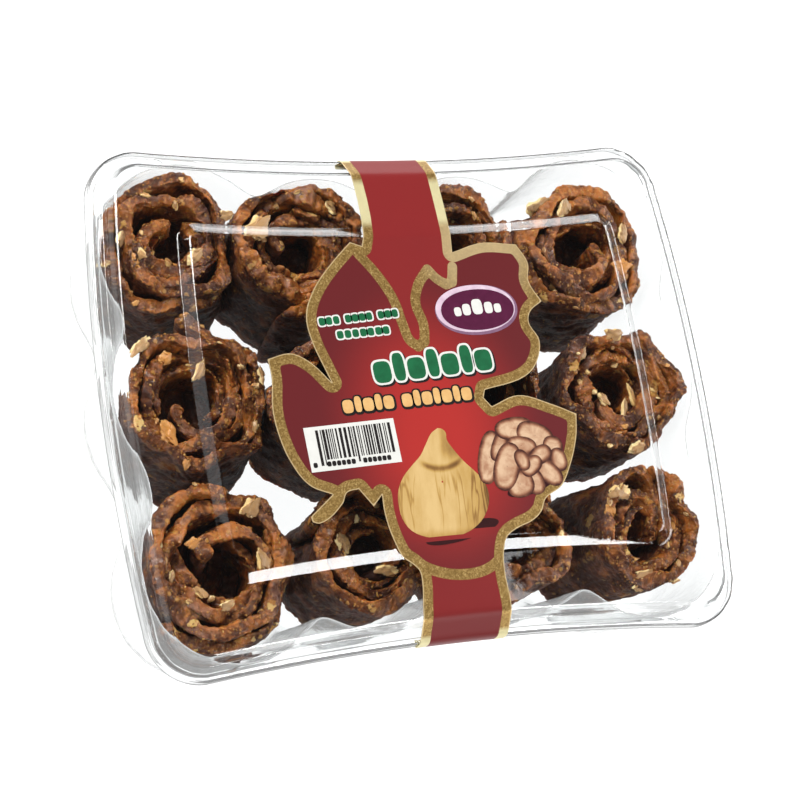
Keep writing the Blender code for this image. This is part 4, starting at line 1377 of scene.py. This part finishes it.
class FIGPACK_OT_label_print(bpy.types.Operator):
    """Prints the plain plaque, ornaments, striped panel and fruit pictures on the label"""
    bl_idname = "figpack.label_print"
    bl_label = "Label print"

    def execute(self, context):
        green = context.scene.figpack_label.green
        shades = {**INK_SHADES, "green": (tuple(0.85 * c for c in green), tuple(1.2 * c for c in green))}
        inks = {name: flat_ink(f"{name}_ink", *tones) for name, tones in shades.items()}
        self.plaque(inks)
        self.heading(inks)
        self.panel(inks)
        self.fruit(inks)
        return {"FINISHED"}

    def plaque(self, inks):
        """An oval plaque with a bright ring, and a bare row of pale beads in its middle."""
        x, y, turn = 18.1, 22.6, 2.0
        for name, half_x, half_y, centre, layer, ink in (
                ("print_plaque_foot", 13.8, 7.9, (x, y), 1, "mauve"),
                ("print_plaque_ring", 13.3, 7.4, (x - 0.3, y + 0.4), 2, "lilac"),
                ("print_plaque", 12.2, 6.4, (x + 0.35, y), 3, "plum")):
            print_patches(name, [put(oval(half_x, half_y, 2.1, 64), centre, turn)], layer, inks[ink])
        beads = [(1.2, 1.4), (1.4, 1.8), (1.8, 2.4), (1.4, 1.8), (1.2, 1.4)]
        print_patches("print_beads", block_row(beads, (x - 7.8, y - 0.5), (x + 8.4, y + 0.3)), 4,
                      inks["white"])

    def heading(self, inks):
        """Rows of rounded blocks where a heading would stand."""
        tall = [(2.9, 3.3), (1.9, 4.3)] * 3 + [(2.9, 3.3)]
        line = (-19.4, 4.6), (20.6, 7.0)
        print_patches("print_heading_shade", block_row(tall, *line, 0.75, (0.45, -0.5)), 1, inks["black"])
        print_patches("print_heading_edge", block_row(tall, *line, 0.62), 2, inks["white"])
        print_patches("print_heading", block_row(tall, *line), 3, inks["green"])
        pair, last = [(1.4, 2.0), (0.9, 2.4)], [(1.4, 2.0)]
        low = pair * 2 + last + [(-0.7, 2.0)] + pair * 3 + last
        line = (-30.6, -5.0), (11.8, -3.2)
        print_patches("print_line_edge", block_row(low, *line, 0.6, (0.15, -0.15)), 1, inks["black"])
        print_patches("print_line", block_row(low, *line), 2, inks["pale_gold"])
        mark, space = [(0.9, 1.2)], [(-0.6, 1.2)]
        small = mark * 3 + space + mark * 4 + space + mark * 3
        upper, lower = ((-33.6, 20.9), (-7.8, 22.7)), ((-28.6, 16.7), (-11.4, 17.6))
        for name, grow, layer, ink in (("print_small_edge", 0.45, 1, "white"),
                                       ("print_small", 0.0, 2, "green")):
            blocks = block_row(small, *upper, grow) + block_row(mark * 7, *lower, grow)
            print_patches(name, blocks, layer, inks[ink])

    def panel(self, inks):
        """A plain pale panel with upright stripes of mixed widths over a row of small marks."""
        centre, turn = (-29.0, -16.4), 2.5
        box = [(-14.2, -6.6), (14.2, -6.6), (14.2, 6.6), (-14.2, 6.6)]
        print_patches("print_panel", [put(box, centre, turn)], 1, inks["white"])
        draw = random.Random(RANDOM_START + 3)
        stripes, x = [], -10.8
        while x < 13.0:
            broad = draw.choice((0.3, 0.3, 0.55, 0.85))
            foot = -5.0 if abs(x + 10.4) < 1.2 or abs(x - 1.3) < 0.7 or x > 12.0 else -3.4
            stripes.append(put([(x, foot), (x + broad, foot), (x + broad, 5.5), (x, 5.5)], centre, turn))
            x += broad + draw.choice((0.3, 0.35, 0.6))
        print_patches("print_stripes", stripes, 2, inks["black"])
        mark = [(0.5, 0.75)]
        marks = mark + [(-0.9, 0.75)] + mark * 6 + [(-0.7, 0.75)] + mark * 6
        print_patches("print_marks", block_row(marks, (-42.2, -21.6), (-17.6, -20.8)), 2, inks["black"])

    def fruit(self, inks):
        """The dried fig and the kernel, over two soft shades."""
        shades = [put(oval(12.4, 2.6, 2.0), (0.8, -44.4), 10.0),
                  put(oval(8.4, 2.4, 2.0), (25.6, -32.6), 14.0)]
        print_patches("print_shade", shades, 0.5, inks["shadow"])
        outline = curve_through(np.array(FIG_OUTLINE + FIG_OUTLINE[:1]), 3)[:-1]
        fig = self.domed("print_fig", outline, 1.0, 26)
        flat = mesh_points(fig) / MM
        along = (flat[:, 1] - FIG_FOOT) / FIG_HEIGHT
        across = (flat[:, 0] - FIG_MIDDLE - FIG_LEAN * along) / FIG_HALF
        paint_map(fig, "shape", np.stack([across, along], 1))
        finish_piece(fig, fig_ink())
        self.kernel()

    def kernel(self):
        """Half a walnut kernel: bent lobes on both sides of a groove, over a dark foot."""
        foot = put(oval(11.4, 9.2, 2.2, 48), (25.2, -23.2), -6.0)
        parts = [self.domed("print_kernel", foot, 1.0, 3)]
        for spot in parts[0].data.attributes["edge"].data:
            spot.value = 0.0
        for index, (x, y, half_x, half_y, lean) in enumerate(KERNEL_LOBES):
            outline = put(oval(half_x * LOBE_GROWTH, half_y * LOBE_GROWTH, 2.3, 28), (x, y), lean)
            parts.append(self.domed("print_kernel", outline, 1.5 + 0.06 * index, 6))
        finish_piece(join_parts(parts), kernel_ink())

    def domed(self, name, outline, layer, rings):
        """A flat patch with inner points, so that it can carry its distance from the edge."""
        points = np.array(outline) * MM
        centre = points.mean(0)
        item, row, column = add_grid(name, len(points), rings)
        around = np.concatenate([points, points[:1]])
        share = np.linspace(1.0, 0.02, rings + 1)
        stack = centre + (around[None] - centre) * share[:, None, None]
        stack = np.concatenate([stack, np.full((*stack.shape[:2], 1), ink_height(layer))], 2)
        set_points(item, stack[row, column])
        paint_points(item, "edge", line_distance(mesh_points(item)[:, :2].astype(float), around))
        close_surface(item, fill=False)
        if item.data.polygons[0].normal.z < 0:
            item.data.flip_normals()
        give_wall(item, INK, -1.0)
        return item


def spiral(roll, share):
    """Middle of the strip in plan, at shares of its length from the core."""
    angle = math.radians(roll.tail) - roll.winding * roll.turns * FULL_TURN * (1.0 - share)
    reach = CORE_SHARE + (1.0 - CORE_SHARE) * share ** COIL_POWER
    reach = reach * (1.0 + WAVE_SHARE * np.sin(3.0 * angle + roll.x + roll.y))
    return np.stack([(roll.half_x - SPIRAL_MARGIN) * MM * reach * np.cos(angle),
                     (roll.half_y - SPIRAL_MARGIN) * MM * reach * np.sin(angle)], 1)


def even_shares(roll):
    """Shares that step evenly along the strip."""
    share = np.linspace(0.0, 1.0, SPIRAL_SAMPLES)
    run = running_length(spiral(roll, share))
    return np.interp(np.linspace(0.0, run[-1], STRIP_STEPS + 1), run, share)


def strip_section():
    """Rows round the strip's section: side (1 outer, -1 inner) and drop from the top as a share."""
    round_off = EDGE_ROUND / (ROLL_TOP - ROLL_FOOT)
    flat = 1.0 - round_off
    outer = [(1.0, round_off + flat * (1.0 - step / OUTER_ROWS) ** OUTER_POWER)
             for step in range(OUTER_ROWS)]
    edge = []
    for step in range(EDGE_ROWS + 1):
        angle = math.pi * step / EDGE_ROWS
        side = math.copysign(abs(math.cos(angle)) ** EDGE_POWER, math.cos(angle))
        edge.append((side, round_off * (1.0 - math.sin(angle) ** EDGE_POWER)))
    inner = [(-1.0, round_off + flat * (step / INNER_ROWS) ** INNER_POWER)
             for step in range(1, INNER_ROWS + 1)]
    return np.array([(0.0, 1.0)] + outer + edge + inner + [(0.0, 1.0)])


def keep_in_tray(points, margin):
    """Pulls back what would touch the tray's wall or floor."""
    lines = np.array(TRAY_LINES) * MM
    inset = np.interp(points[..., 2], lines[:, 1], lines[:, 0])
    gap, way = lobe_field(points)
    excess = np.maximum(gap + inset + margin, 0.0)
    points[..., :2] -= way * excess[..., None]
    points[..., 2] = np.clip(points[..., 2], ROLL_LOWEST, PLATEAU_TOP - LID_CLEARANCE)
    return points


def blur(values, times):
    """Evens out an array of points over its rows and columns."""
    for _ in range(times):
        padded = np.pad(values, ((1, 1), (1, 1), (0, 0)), mode="edge")
        values = (padded[:-2, 1:-1] + padded[2:, 1:-1] + padded[1:-1, :-2] + padded[1:-1, 2:]
                  + 2.0 * values) / 6.0
    return values


def sheet_normals(points, middle):
    """Normals of a bent grid, turned away from the strip's middle."""
    normal = np.cross(np.gradient(points, axis=0), np.gradient(points, axis=1))
    normal /= np.linalg.norm(normal, axis=-1, keepdims=True) + 1e-12
    out = np.sign((normal * (points - middle)).sum(-1, keepdims=True))
    return normal * np.where(out == 0, 1.0, out)


class RollShape:
    """One strip as arrays of points, by row round the section and column along the strip."""

    def __init__(self, kind, roll, draw, plan, top, thickness, taper):
        self.name, self.draw = f"fig_{kind}_r{roll.row}c{roll.column}", draw
        self.section = strip_section()
        centre, lean = np.array((roll.x, roll.y)) * MM, np.array((roll.foot_x, roll.foot_y)) * MM
        self.bend(centre + plan, centre + lean + plan * ROLL_FOOT_SCALE, top, thickness, taper)

    def bend(self, plan, foot, top, thickness, taper):
        """Stands the strip on its line: uneven, ragged above, leaning in and out, thin at its ends."""
        draw = self.draw
        run = running_length(plan)
        line = np.stack([run, np.zeros_like(run), np.zeros_like(run)], 1)
        tangent = np.gradient(plan, axis=0)
        tangent /= np.linalg.norm(tangent, axis=1)[:, None]
        normal = np.stack([tangent[:, 1], -tangent[:, 0]], 1)
        normal *= np.sign((normal * (plan - plan.mean(0))).sum())
        for pitch, depth in EDGE_WAVES:
            top = top + drift(line, pitch * MM, draw) * depth * MM
        near_end = np.clip(np.minimum(run / taper, (run[-1] - run) / taper), 0.0, 1.0)
        side, rise = self.section[:, 0], 1.0 - self.section[:, 1]
        height = ROLL_FOOT + rise[:, None] * (top - ROLL_FOOT)[None, :]
        middle = foot[None] * (1.0 - rise[:, None, None]) + plan[None] * rise[:, None, None]
        middle = np.concatenate([middle, height[..., None]], 2)
        sway = np.stack([drift(middle, SWAY_PITCH, draw) for _ in range(2)], 2)
        upper = np.clip((rise - FLARE_START) / FLARE_SPAN, 0.0, 1.0) ** FLARE_POWER
        out = (drift(line, FLARE_PITCH, draw)[None] * FLARE_DEPTH + FLARE_OUT) * MM * upper[:, None]
        out = out + drift(line, BOW_PITCH, draw)[None] * BOW_DEPTH * MM
        middle[..., :2] += sway * SWAY_DEPTH + normal[None] * out[..., None]
        bulge = LONG_BULGE[1] * drift(line, LONG_BULGE[0], draw)[None]
        bulge = bulge + FACE_BULGE[1] * drift(middle, FACE_BULGE[0], draw)
        half = np.clip(0.5 * thickness * (1.0 + bulge), THINNEST * thickness, thickness)
        half = half * np.sqrt(near_end * (2.0 - near_end)).clip(0.12)
        points = middle.copy()
        points[..., :2] += normal[None] * (side[:, None] * half)[..., None]
        slant = drift(line, SLANT_PITCH, draw)[None] * SLANT_DEPTH - SLANT_IN
        points[..., 2] += slant * MM * side[:, None] * upper[:, None]
        self.middle, self.points, self.run = middle, points, run

    def map_places(self):
        """Run along the strip and way round its section, for what follows the surface."""
        around = running_length(self.section * np.array((1.6, 42.0)) * MM)
        return np.stack(np.broadcast_arrays(self.run[None, :], around[:, None]), 2)

    def cut_share(self):
        """1 on the cut upper edge, falling away a few millimetres down the faces."""
        drop = self.section[:, 1][:, None] * (ROLL_TOP - ROLL_FOOT)
        wander = 1.0 + 0.55 * drift(self.middle, 8.0 * MM, self.draw)
        return np.clip(1.3 - drop / (CUT_REACH * wander), 0.0, 1.0)


def roll_shape(roll, thickness):
    """The wound strip of one roll."""
    draw = random.Random(RANDOM_START + 10 * roll.row + roll.column)
    share = even_shares(roll)
    top = ROLL_TOP - roll.hollow * MM * (1.0 - share) ** HOLLOW_POWER
    top = top - END_DROP * (1.0 - np.clip((1.0 - share) / END_SHARE, 0.0, 1.0)) ** 2
    slip = np.clip((share - SLIP_START) / SLIP_SPAN, 0.0, 1.0)
    top = top - TAIL_DROPS.get(roll[:2], 0.0) * MM * slip * slip * (3.0 - 2.0 * slip)
    return RollShape("roll", roll, draw, spiral(roll, share), top, thickness, STRIP_TAPER)


def leaf_shapes(roll):
    """Loose leaves of paste that lie against the inner side of one roll's strip."""
    draw = random.Random(RANDOM_START + 200 + 10 * roll.row + roll.column)
    share = even_shares(roll)
    leaves = []
    for start, stop, inward, drop, thickness in LEAVES:
        shift = draw.uniform(-0.05, 0.06)
        first, last = int((start + shift) * STRIP_STEPS), int((stop + shift) * STRIP_STEPS)
        plan = spiral(roll, share[max(first, 0):last])
        plan = plan * (1.0 - inward * MM / np.linalg.norm(plan, axis=1))[:, None].clip(0.25)
        top = np.full(len(plan), ROLL_TOP - (drop + draw.uniform(-1.2, 1.5)) * MM)
        leaves.append(RollShape("leaf", roll, draw, plan, top, thickness * MM, LEAF_TAPER))
    return leaves


def weight_points(item, name, values):
    """A vertex group from numbers between 0 and 1, in eight steps."""
    group = item.vertex_groups.new(name=name)
    steps = np.rint(np.clip(values, 0.0, 1.0) * 8).astype(int)
    for level in range(1, 9):
        group.add([int(i) for i in np.flatnonzero(steps == level)], level / 8.0, "REPLACE")


def model_strip(shape):
    """Winds a grid into the strip, roughens it and closes it."""
    rows, columns = len(shape.section) - 1, len(shape.run) - 1
    item, row, column = add_grid(shape.name, columns, rows)
    set_points(item, shape.points[row, column])
    cut = shape.cut_share()
    weight_points(item, "cut_edge", cut[row, column])
    for kind, size, depth, level, group in STRIP_RELIEFS:
        press_relief(item, kind, size * MM, depth * MM, level, group)
    item.vertex_groups.clear()
    points = np.empty_like(shape.points)
    points[row, column] = mesh_points(item)
    points[-1] = points[0]
    points = keep_in_tray(points, WALL + 0.2 * MM)
    shape.normals = sheet_normals(points, shape.middle)
    relief = ((points - blur(points, RELIEF_BLUR)) * shape.normals).sum(-1) / RELIEF_DEPTH
    shape.points, shape.cut = points, cut
    set_points(item, points[row, column])
    depth = shape.section[:, 1][:, None] + np.zeros_like(cut)
    inner = np.clip(0.5 - 0.5 * shape.section[:, 0], 0.0, 1.0)[:, None] + np.zeros_like(cut)
    warm = 0.5 + 0.5 * drift(shape.middle, 22.0 * MM, shape.draw)
    for name, values in zip(PASTE_MARKS, (cut, np.clip(relief, -1.0, 1.0), depth, inner, warm)):
        paint_points(item, name, values[row, column])
    paint_map(item, "strip", shape.map_places()[row, column])
    close_surface(item)
    bpy.ops.object.shade_smooth()
    return item


def core_plug(name, roll, draw):
    """Crumbled paste low down inside the roll, which closes the view to the floor."""
    steps, rings = PLUG_STEPS
    item, row, column = add_grid(name, steps, rings)
    angle = column / steps * FULL_TURN
    reach = 1.0 - row / rings
    centre = (np.array((roll.x, roll.y)) + np.array((roll.foot_x, roll.foot_y)) * 0.8) * MM
    x = centre[0] + np.cos(angle) * reach * (roll.half_x * PLUG_SHARE) * MM
    y = centre[1] + np.sin(angle) * reach * (roll.half_y * PLUG_SHARE) * MM
    height = np.where(row == 0, 2.0 * MM, PLUG_TOP - PLUG_DIP * (1.0 - reach))
    points = np.stack([x, y, height], 1)
    points[:, 2] += drift(points, 7.0 * MM, draw) * PLUG_WAVE * (row > 0)
    set_points(item, keep_in_tray(points, WALL + 1.5 * MM))
    # Marks set deep inside the roll, so the paste's painted shade darkens the plug.
    for kind, value in zip(PASTE_MARKS, (0.0, -0.1, 0.4, 1.0, 0.5)):
        paint_points(item, kind, np.full(len(points), value))
    close_surface(item)
    bpy.ops.object.shade_smooth()
    return item


SHAPES = []


class FIGPACK_OT_rolls(bpy.types.Operator):
    """Winds the twelve rolls of fig paste"""
    bl_idname = "figpack.rolls"
    bl_label = "Fig rolls"

    def execute(self, context):
        settings = context.scene.figpack_rolls
        material = fig_paste(settings)
        SHAPES.clear()
        for roll in ROLLS:
            shape = roll_shape(roll, settings.strip)
            item = model_strip(shape)
            leaves = leaf_shapes(roll)
            parts = [item, *(model_strip(leaf) for leaf in leaves)]
            parts.append(core_plug(f"{shape.name}_core", roll, shape.draw))
            join_parts(parts)
            finish_piece(item, material, [f"roll_r{roll.row}c{roll.column}"])
            SHAPES.extend([shape, *leaves])
        return {"FINISHED"}


def join_copies(name, templates, placements, attributes):
    """One mesh of many placed copies. A placement is a template's number and a 4 x 4 matrix."""
    points, faces, numbers, start = [], [], {key: [] for key in attributes}, 0
    for index, (pick, matrix) in enumerate(placements):
        shape_points, shape_faces, extra = templates[pick]
        placed = shape_points @ matrix[:3, :3].T + matrix[:3, 3]
        points.append(placed)
        faces.append(shape_faces + start)
        start += len(shape_points)
        for key, values in attributes.items():
            numbers[key].append(extra[key] if values is None else np.full(len(shape_points), values[index]))
    mesh = bpy.data.meshes.new(name)
    points, faces = np.concatenate(points), np.concatenate(faces)
    mesh.vertices.add(len(points))
    mesh.vertices.foreach_set("co", points.astype(np.float32).ravel())
    mesh.loops.add(faces.size)
    mesh.loops.foreach_set("vertex_index", faces.astype(np.int32).ravel())
    mesh.polygons.add(len(faces))
    mesh.polygons.foreach_set("loop_start", np.arange(0, faces.size, 3, dtype=np.int32))
    mesh.update(calc_edges=True)
    mesh.validate()
    item = link_mesh(mesh)
    for key in attributes:
        paint_points(item, key, np.concatenate(numbers[key]))
    select_only(item)
    bpy.ops.object.shade_smooth()
    return item


def take_template(item, extra=None):
    """Keeps a small object's triangles as arrays and removes it."""
    item.data.calc_loop_triangles()
    faces = np.empty(len(item.data.loop_triangles) * 3, np.int32)
    item.data.loop_triangles.foreach_get("vertices", faces)
    template = (mesh_points(item).astype(float), faces.reshape(-1, 3), extra or {})
    bpy.data.objects.remove(item, do_unlink=True)
    return template


def seed_template():
    """A small oval seed, about half as thick as it is long."""
    item = add_primitive(bpy.ops.mesh.primitive_ico_sphere_add, subdivisions=1, radius=1.0)
    edit_whole(item, partial(bpy.ops.transform.resize, value=(1.0, 0.72, 0.6)))
    return take_template(item)


def facing(normal, turn):
    """A rotation whose Z is the normal, turned about it."""
    z = Vector(normal).normalized()
    return np.array(z.to_track_quat("Z", "Y").to_matrix() @ Matrix.Rotation(turn, 3, "Z"))


def placement(turn, place):
    """A 4 x 4 matrix of a turn with its sizes, and a place."""
    matrix = np.eye(4)
    matrix[:3, :3] = turn
    matrix[:3, 3] = place
    return matrix


def drawn_spots(chance, draw):
    """Rows and columns of a grid, each as likely as its chance."""
    odds = np.cumsum(chance.ravel())
    while True:
        spot = int(np.searchsorted(odds, draw.random() * odds[-1]))
        yield np.unravel_index(min(spot, odds.size - 1), chance.shape)


class FIGPACK_OT_seeds(bpy.types.Operator):
    """Presses fig seeds into the rolls' edges and faces"""
    bl_idname = "figpack.seeds"
    bl_label = "Fig seeds"

    def execute(self, context):
        settings = context.scene.figpack_rolls
        draw = random.Random(RANDOM_START + 1)
        placements, tones = [], []
        for shape in SHAPES:
            drop = shape.section[:, 1][:, None] + np.zeros_like(shape.cut)
            outer = (shape.section[:, 0] > 0.5)[:, None]
            spacing = np.linalg.norm(np.gradient(shape.points, axis=0), axis=-1)
            chance = (shape.cut * 2.6 + 0.35 * outer * (drop < 0.8) + 0.25 * (drop < 0.25)) * spacing
            spots = drawn_spots(chance, draw)
            for _ in range(int(settings.seeds * len(shape.run) / STRIP_STEPS)):
                row, column = next(spots)
                size = draw.uniform(*SEED_SIZES) * MM
                normal = shape.normals[row, column]
                placements.append((0, placement(
                    facing(normal, draw.uniform(0, FULL_TURN)) * size,
                    shape.points[row, column] - normal * size * draw.uniform(0.0, 0.3))))
                tones.append(draw.random())
        item = join_copies("fig_seeds", [seed_template()], placements, {"tone": tones})
        finish_piece(item, seed_husk())
        return {"FINISHED"}


def chip_template(draw, voxel):
    """One broken chip: a ball cut flat by random planes, then made uneven."""
    item = add_primitive(bpy.ops.mesh.primitive_ico_sphere_add, subdivisions=4, radius=1.0)
    bpy.ops.object.mode_set(mode="EDIT")
    for _ in range(CHIP_BREAKS):
        way = Vector((draw.gauss(0, 1), draw.gauss(0, 1), draw.gauss(0, 0.45))).normalized()
        bpy.ops.mesh.select_all(action="SELECT")
        bpy.ops.mesh.bisect(plane_co=way * draw.uniform(0.4, 0.8), plane_no=way, use_fill=True,
                            clear_outer=True)
    bpy.ops.object.mode_set(mode="OBJECT")
    even = item.modifiers.new("even", "REMESH")
    even.mode = "VOXEL"
    even.voxel_size = voxel
    select_only(item)
    bpy.ops.object.modifier_apply(modifier=even.name)
    for relief in CHIP_RELIEFS:
        press_relief(item, *relief)
    points = mesh_points(item)
    return take_template(item, {"skin": np.clip(0.5 + points[:, 2] * 1.1, 0.0, 1.0)})


class FIGPACK_OT_walnuts(bpy.types.Operator):
    """Breaks walnut into chips and presses them between the turns"""
    bl_idname = "figpack.walnuts"
    bl_label = "Walnut pieces"

    def execute(self, context):
        settings = context.scene.figpack_rolls
        draw = random.Random(RANDOM_START + 2)
        templates = [chip_template(draw, voxel) for voxel in (BIG_CHIP_VOXEL, SMALL_CHIP_VOXEL)
                     for _ in range(CHIP_KINDS)]
        placements, tones, syrups = [], [], []
        spots = np.concatenate([shape.points[2:-2].reshape(-1, 3)[::3] for shape in SHAPES])
        for x, y, z, length, breadth, depth, heading, tilt, syrup in WALNUTS:
            place = np.array((x, y, z)) * MM
            gaps = np.linalg.norm(spots - place, axis=1)
            nearest = int(gaps.argmin())
            if gaps[nearest] > 1.5 * MM:
                place = spots[nearest] + (place - spots[nearest]) * (0.8 * MM / gaps[nearest])
            turn = (Matrix.Rotation(math.radians(heading), 3, "Z")
                    @ Matrix.Rotation(math.radians(tilt), 3, "X"))
            sizes = Matrix.Diagonal((length * 1.2 * MM, breadth * 1.25 * MM, depth * MM))
            placements.append((draw.randrange(CHIP_KINDS), placement(np.array(turn @ sizes), place)))
            tones.append(draw.uniform(0.3, 1.0))
            syrups.append(syrup)
        for shape in SHAPES:
            count = int(math.ceil(settings.chips * len(shape.run) / STRIP_STEPS))
            self.scatter(shape, count, draw, placements, tones, syrups)
        item = join_copies("walnut_pieces", templates, placements,
                           {"tone": tones, "syrup": syrups, "skin": None})
        bpy.ops.object.shade_smooth_by_angle(angle=math.radians(58.0))
        finish_piece(item, walnut_flesh(settings))
        return {"FINISHED"}

    def scatter(self, shape, count, draw, placements, tones, syrups):
        """Small chips along the upper edge and on the faces of one roll."""
        chance = shape.cut + 0.04 * (shape.section[:, 0] > 0.5)[:, None]
        spots = drawn_spots(chance, draw)
        for _ in range(count):
            row, column = next(spots)
            length = draw.uniform(*CHIP_SIZES) * MM
            normal = shape.normals[row, column]
            size = np.diag((length, length * draw.uniform(0.45, 0.8), length * draw.uniform(0.3, 0.5)))
            matrix = placement(facing(normal, draw.uniform(0, FULL_TURN)) @ size, shape.points[row, column])
            placements.append((CHIP_KINDS + draw.randrange(CHIP_KINDS), matrix))
            tones.append(draw.random())
            syrups.append(max(0.0, draw.uniform(-0.8, 1.0)))


class FIGPACK_PT_panel(bpy.types.Panel):
    """Lists the steps and settings of the pack"""
    bl_label = "Fig Pack"
    bl_idname = "FIGPACK_PT_panel"
    bl_space_type = "VIEW_3D"
    bl_region_type = "UI"
    bl_category = "Fig Pack"

    def draw(self, context):
        for step in STEPS:
            self.layout.operator(step.bl_idname)
        for name, group in SETTINGS:
            box = self.layout.box()
            for field in group.__annotations__:
                box.prop(getattr(context.scene, name), field)


STEPS = (FIGPACK_OT_stage, FIGPACK_OT_tray, FIGPACK_OT_lid, FIGPACK_OT_label, FIGPACK_OT_label_print,
         FIGPACK_OT_rolls, FIGPACK_OT_seeds, FIGPACK_OT_walnuts)
SETTINGS = (("figpack_plastic", ClearPackSettings), ("figpack_rolls", FigRollSettings),
            ("figpack_label", LabelSettings), ("figpack_stage", StageSettings))


def register():
    for name, group in SETTINGS:
        bpy.utils.register_class(group)
        setattr(bpy.types.Scene, name, PointerProperty(type=group))
    for step in STEPS:
        bpy.utils.register_class(step)
    bpy.utils.register_class(FIGPACK_PT_panel)


def unregister():
    bpy.utils.unregister_class(FIGPACK_PT_panel)
    for step in reversed(STEPS):
        bpy.utils.unregister_class(step)
    for name, group in reversed(SETTINGS):
        delattr(bpy.types.Scene, name)
        bpy.utils.unregister_class(group)


def main():
    register()
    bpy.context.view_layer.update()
    bpy.ops.figpack.stage()
    bpy.ops.figpack.tray()
    bpy.ops.figpack.lid()
    bpy.ops.figpack.label()
    bpy.ops.figpack.label_print()
    bpy.ops.figpack.rolls()
    bpy.ops.figpack.seeds()
    bpy.ops.figpack.walnuts()


if __name__ == "__main__":
    main()
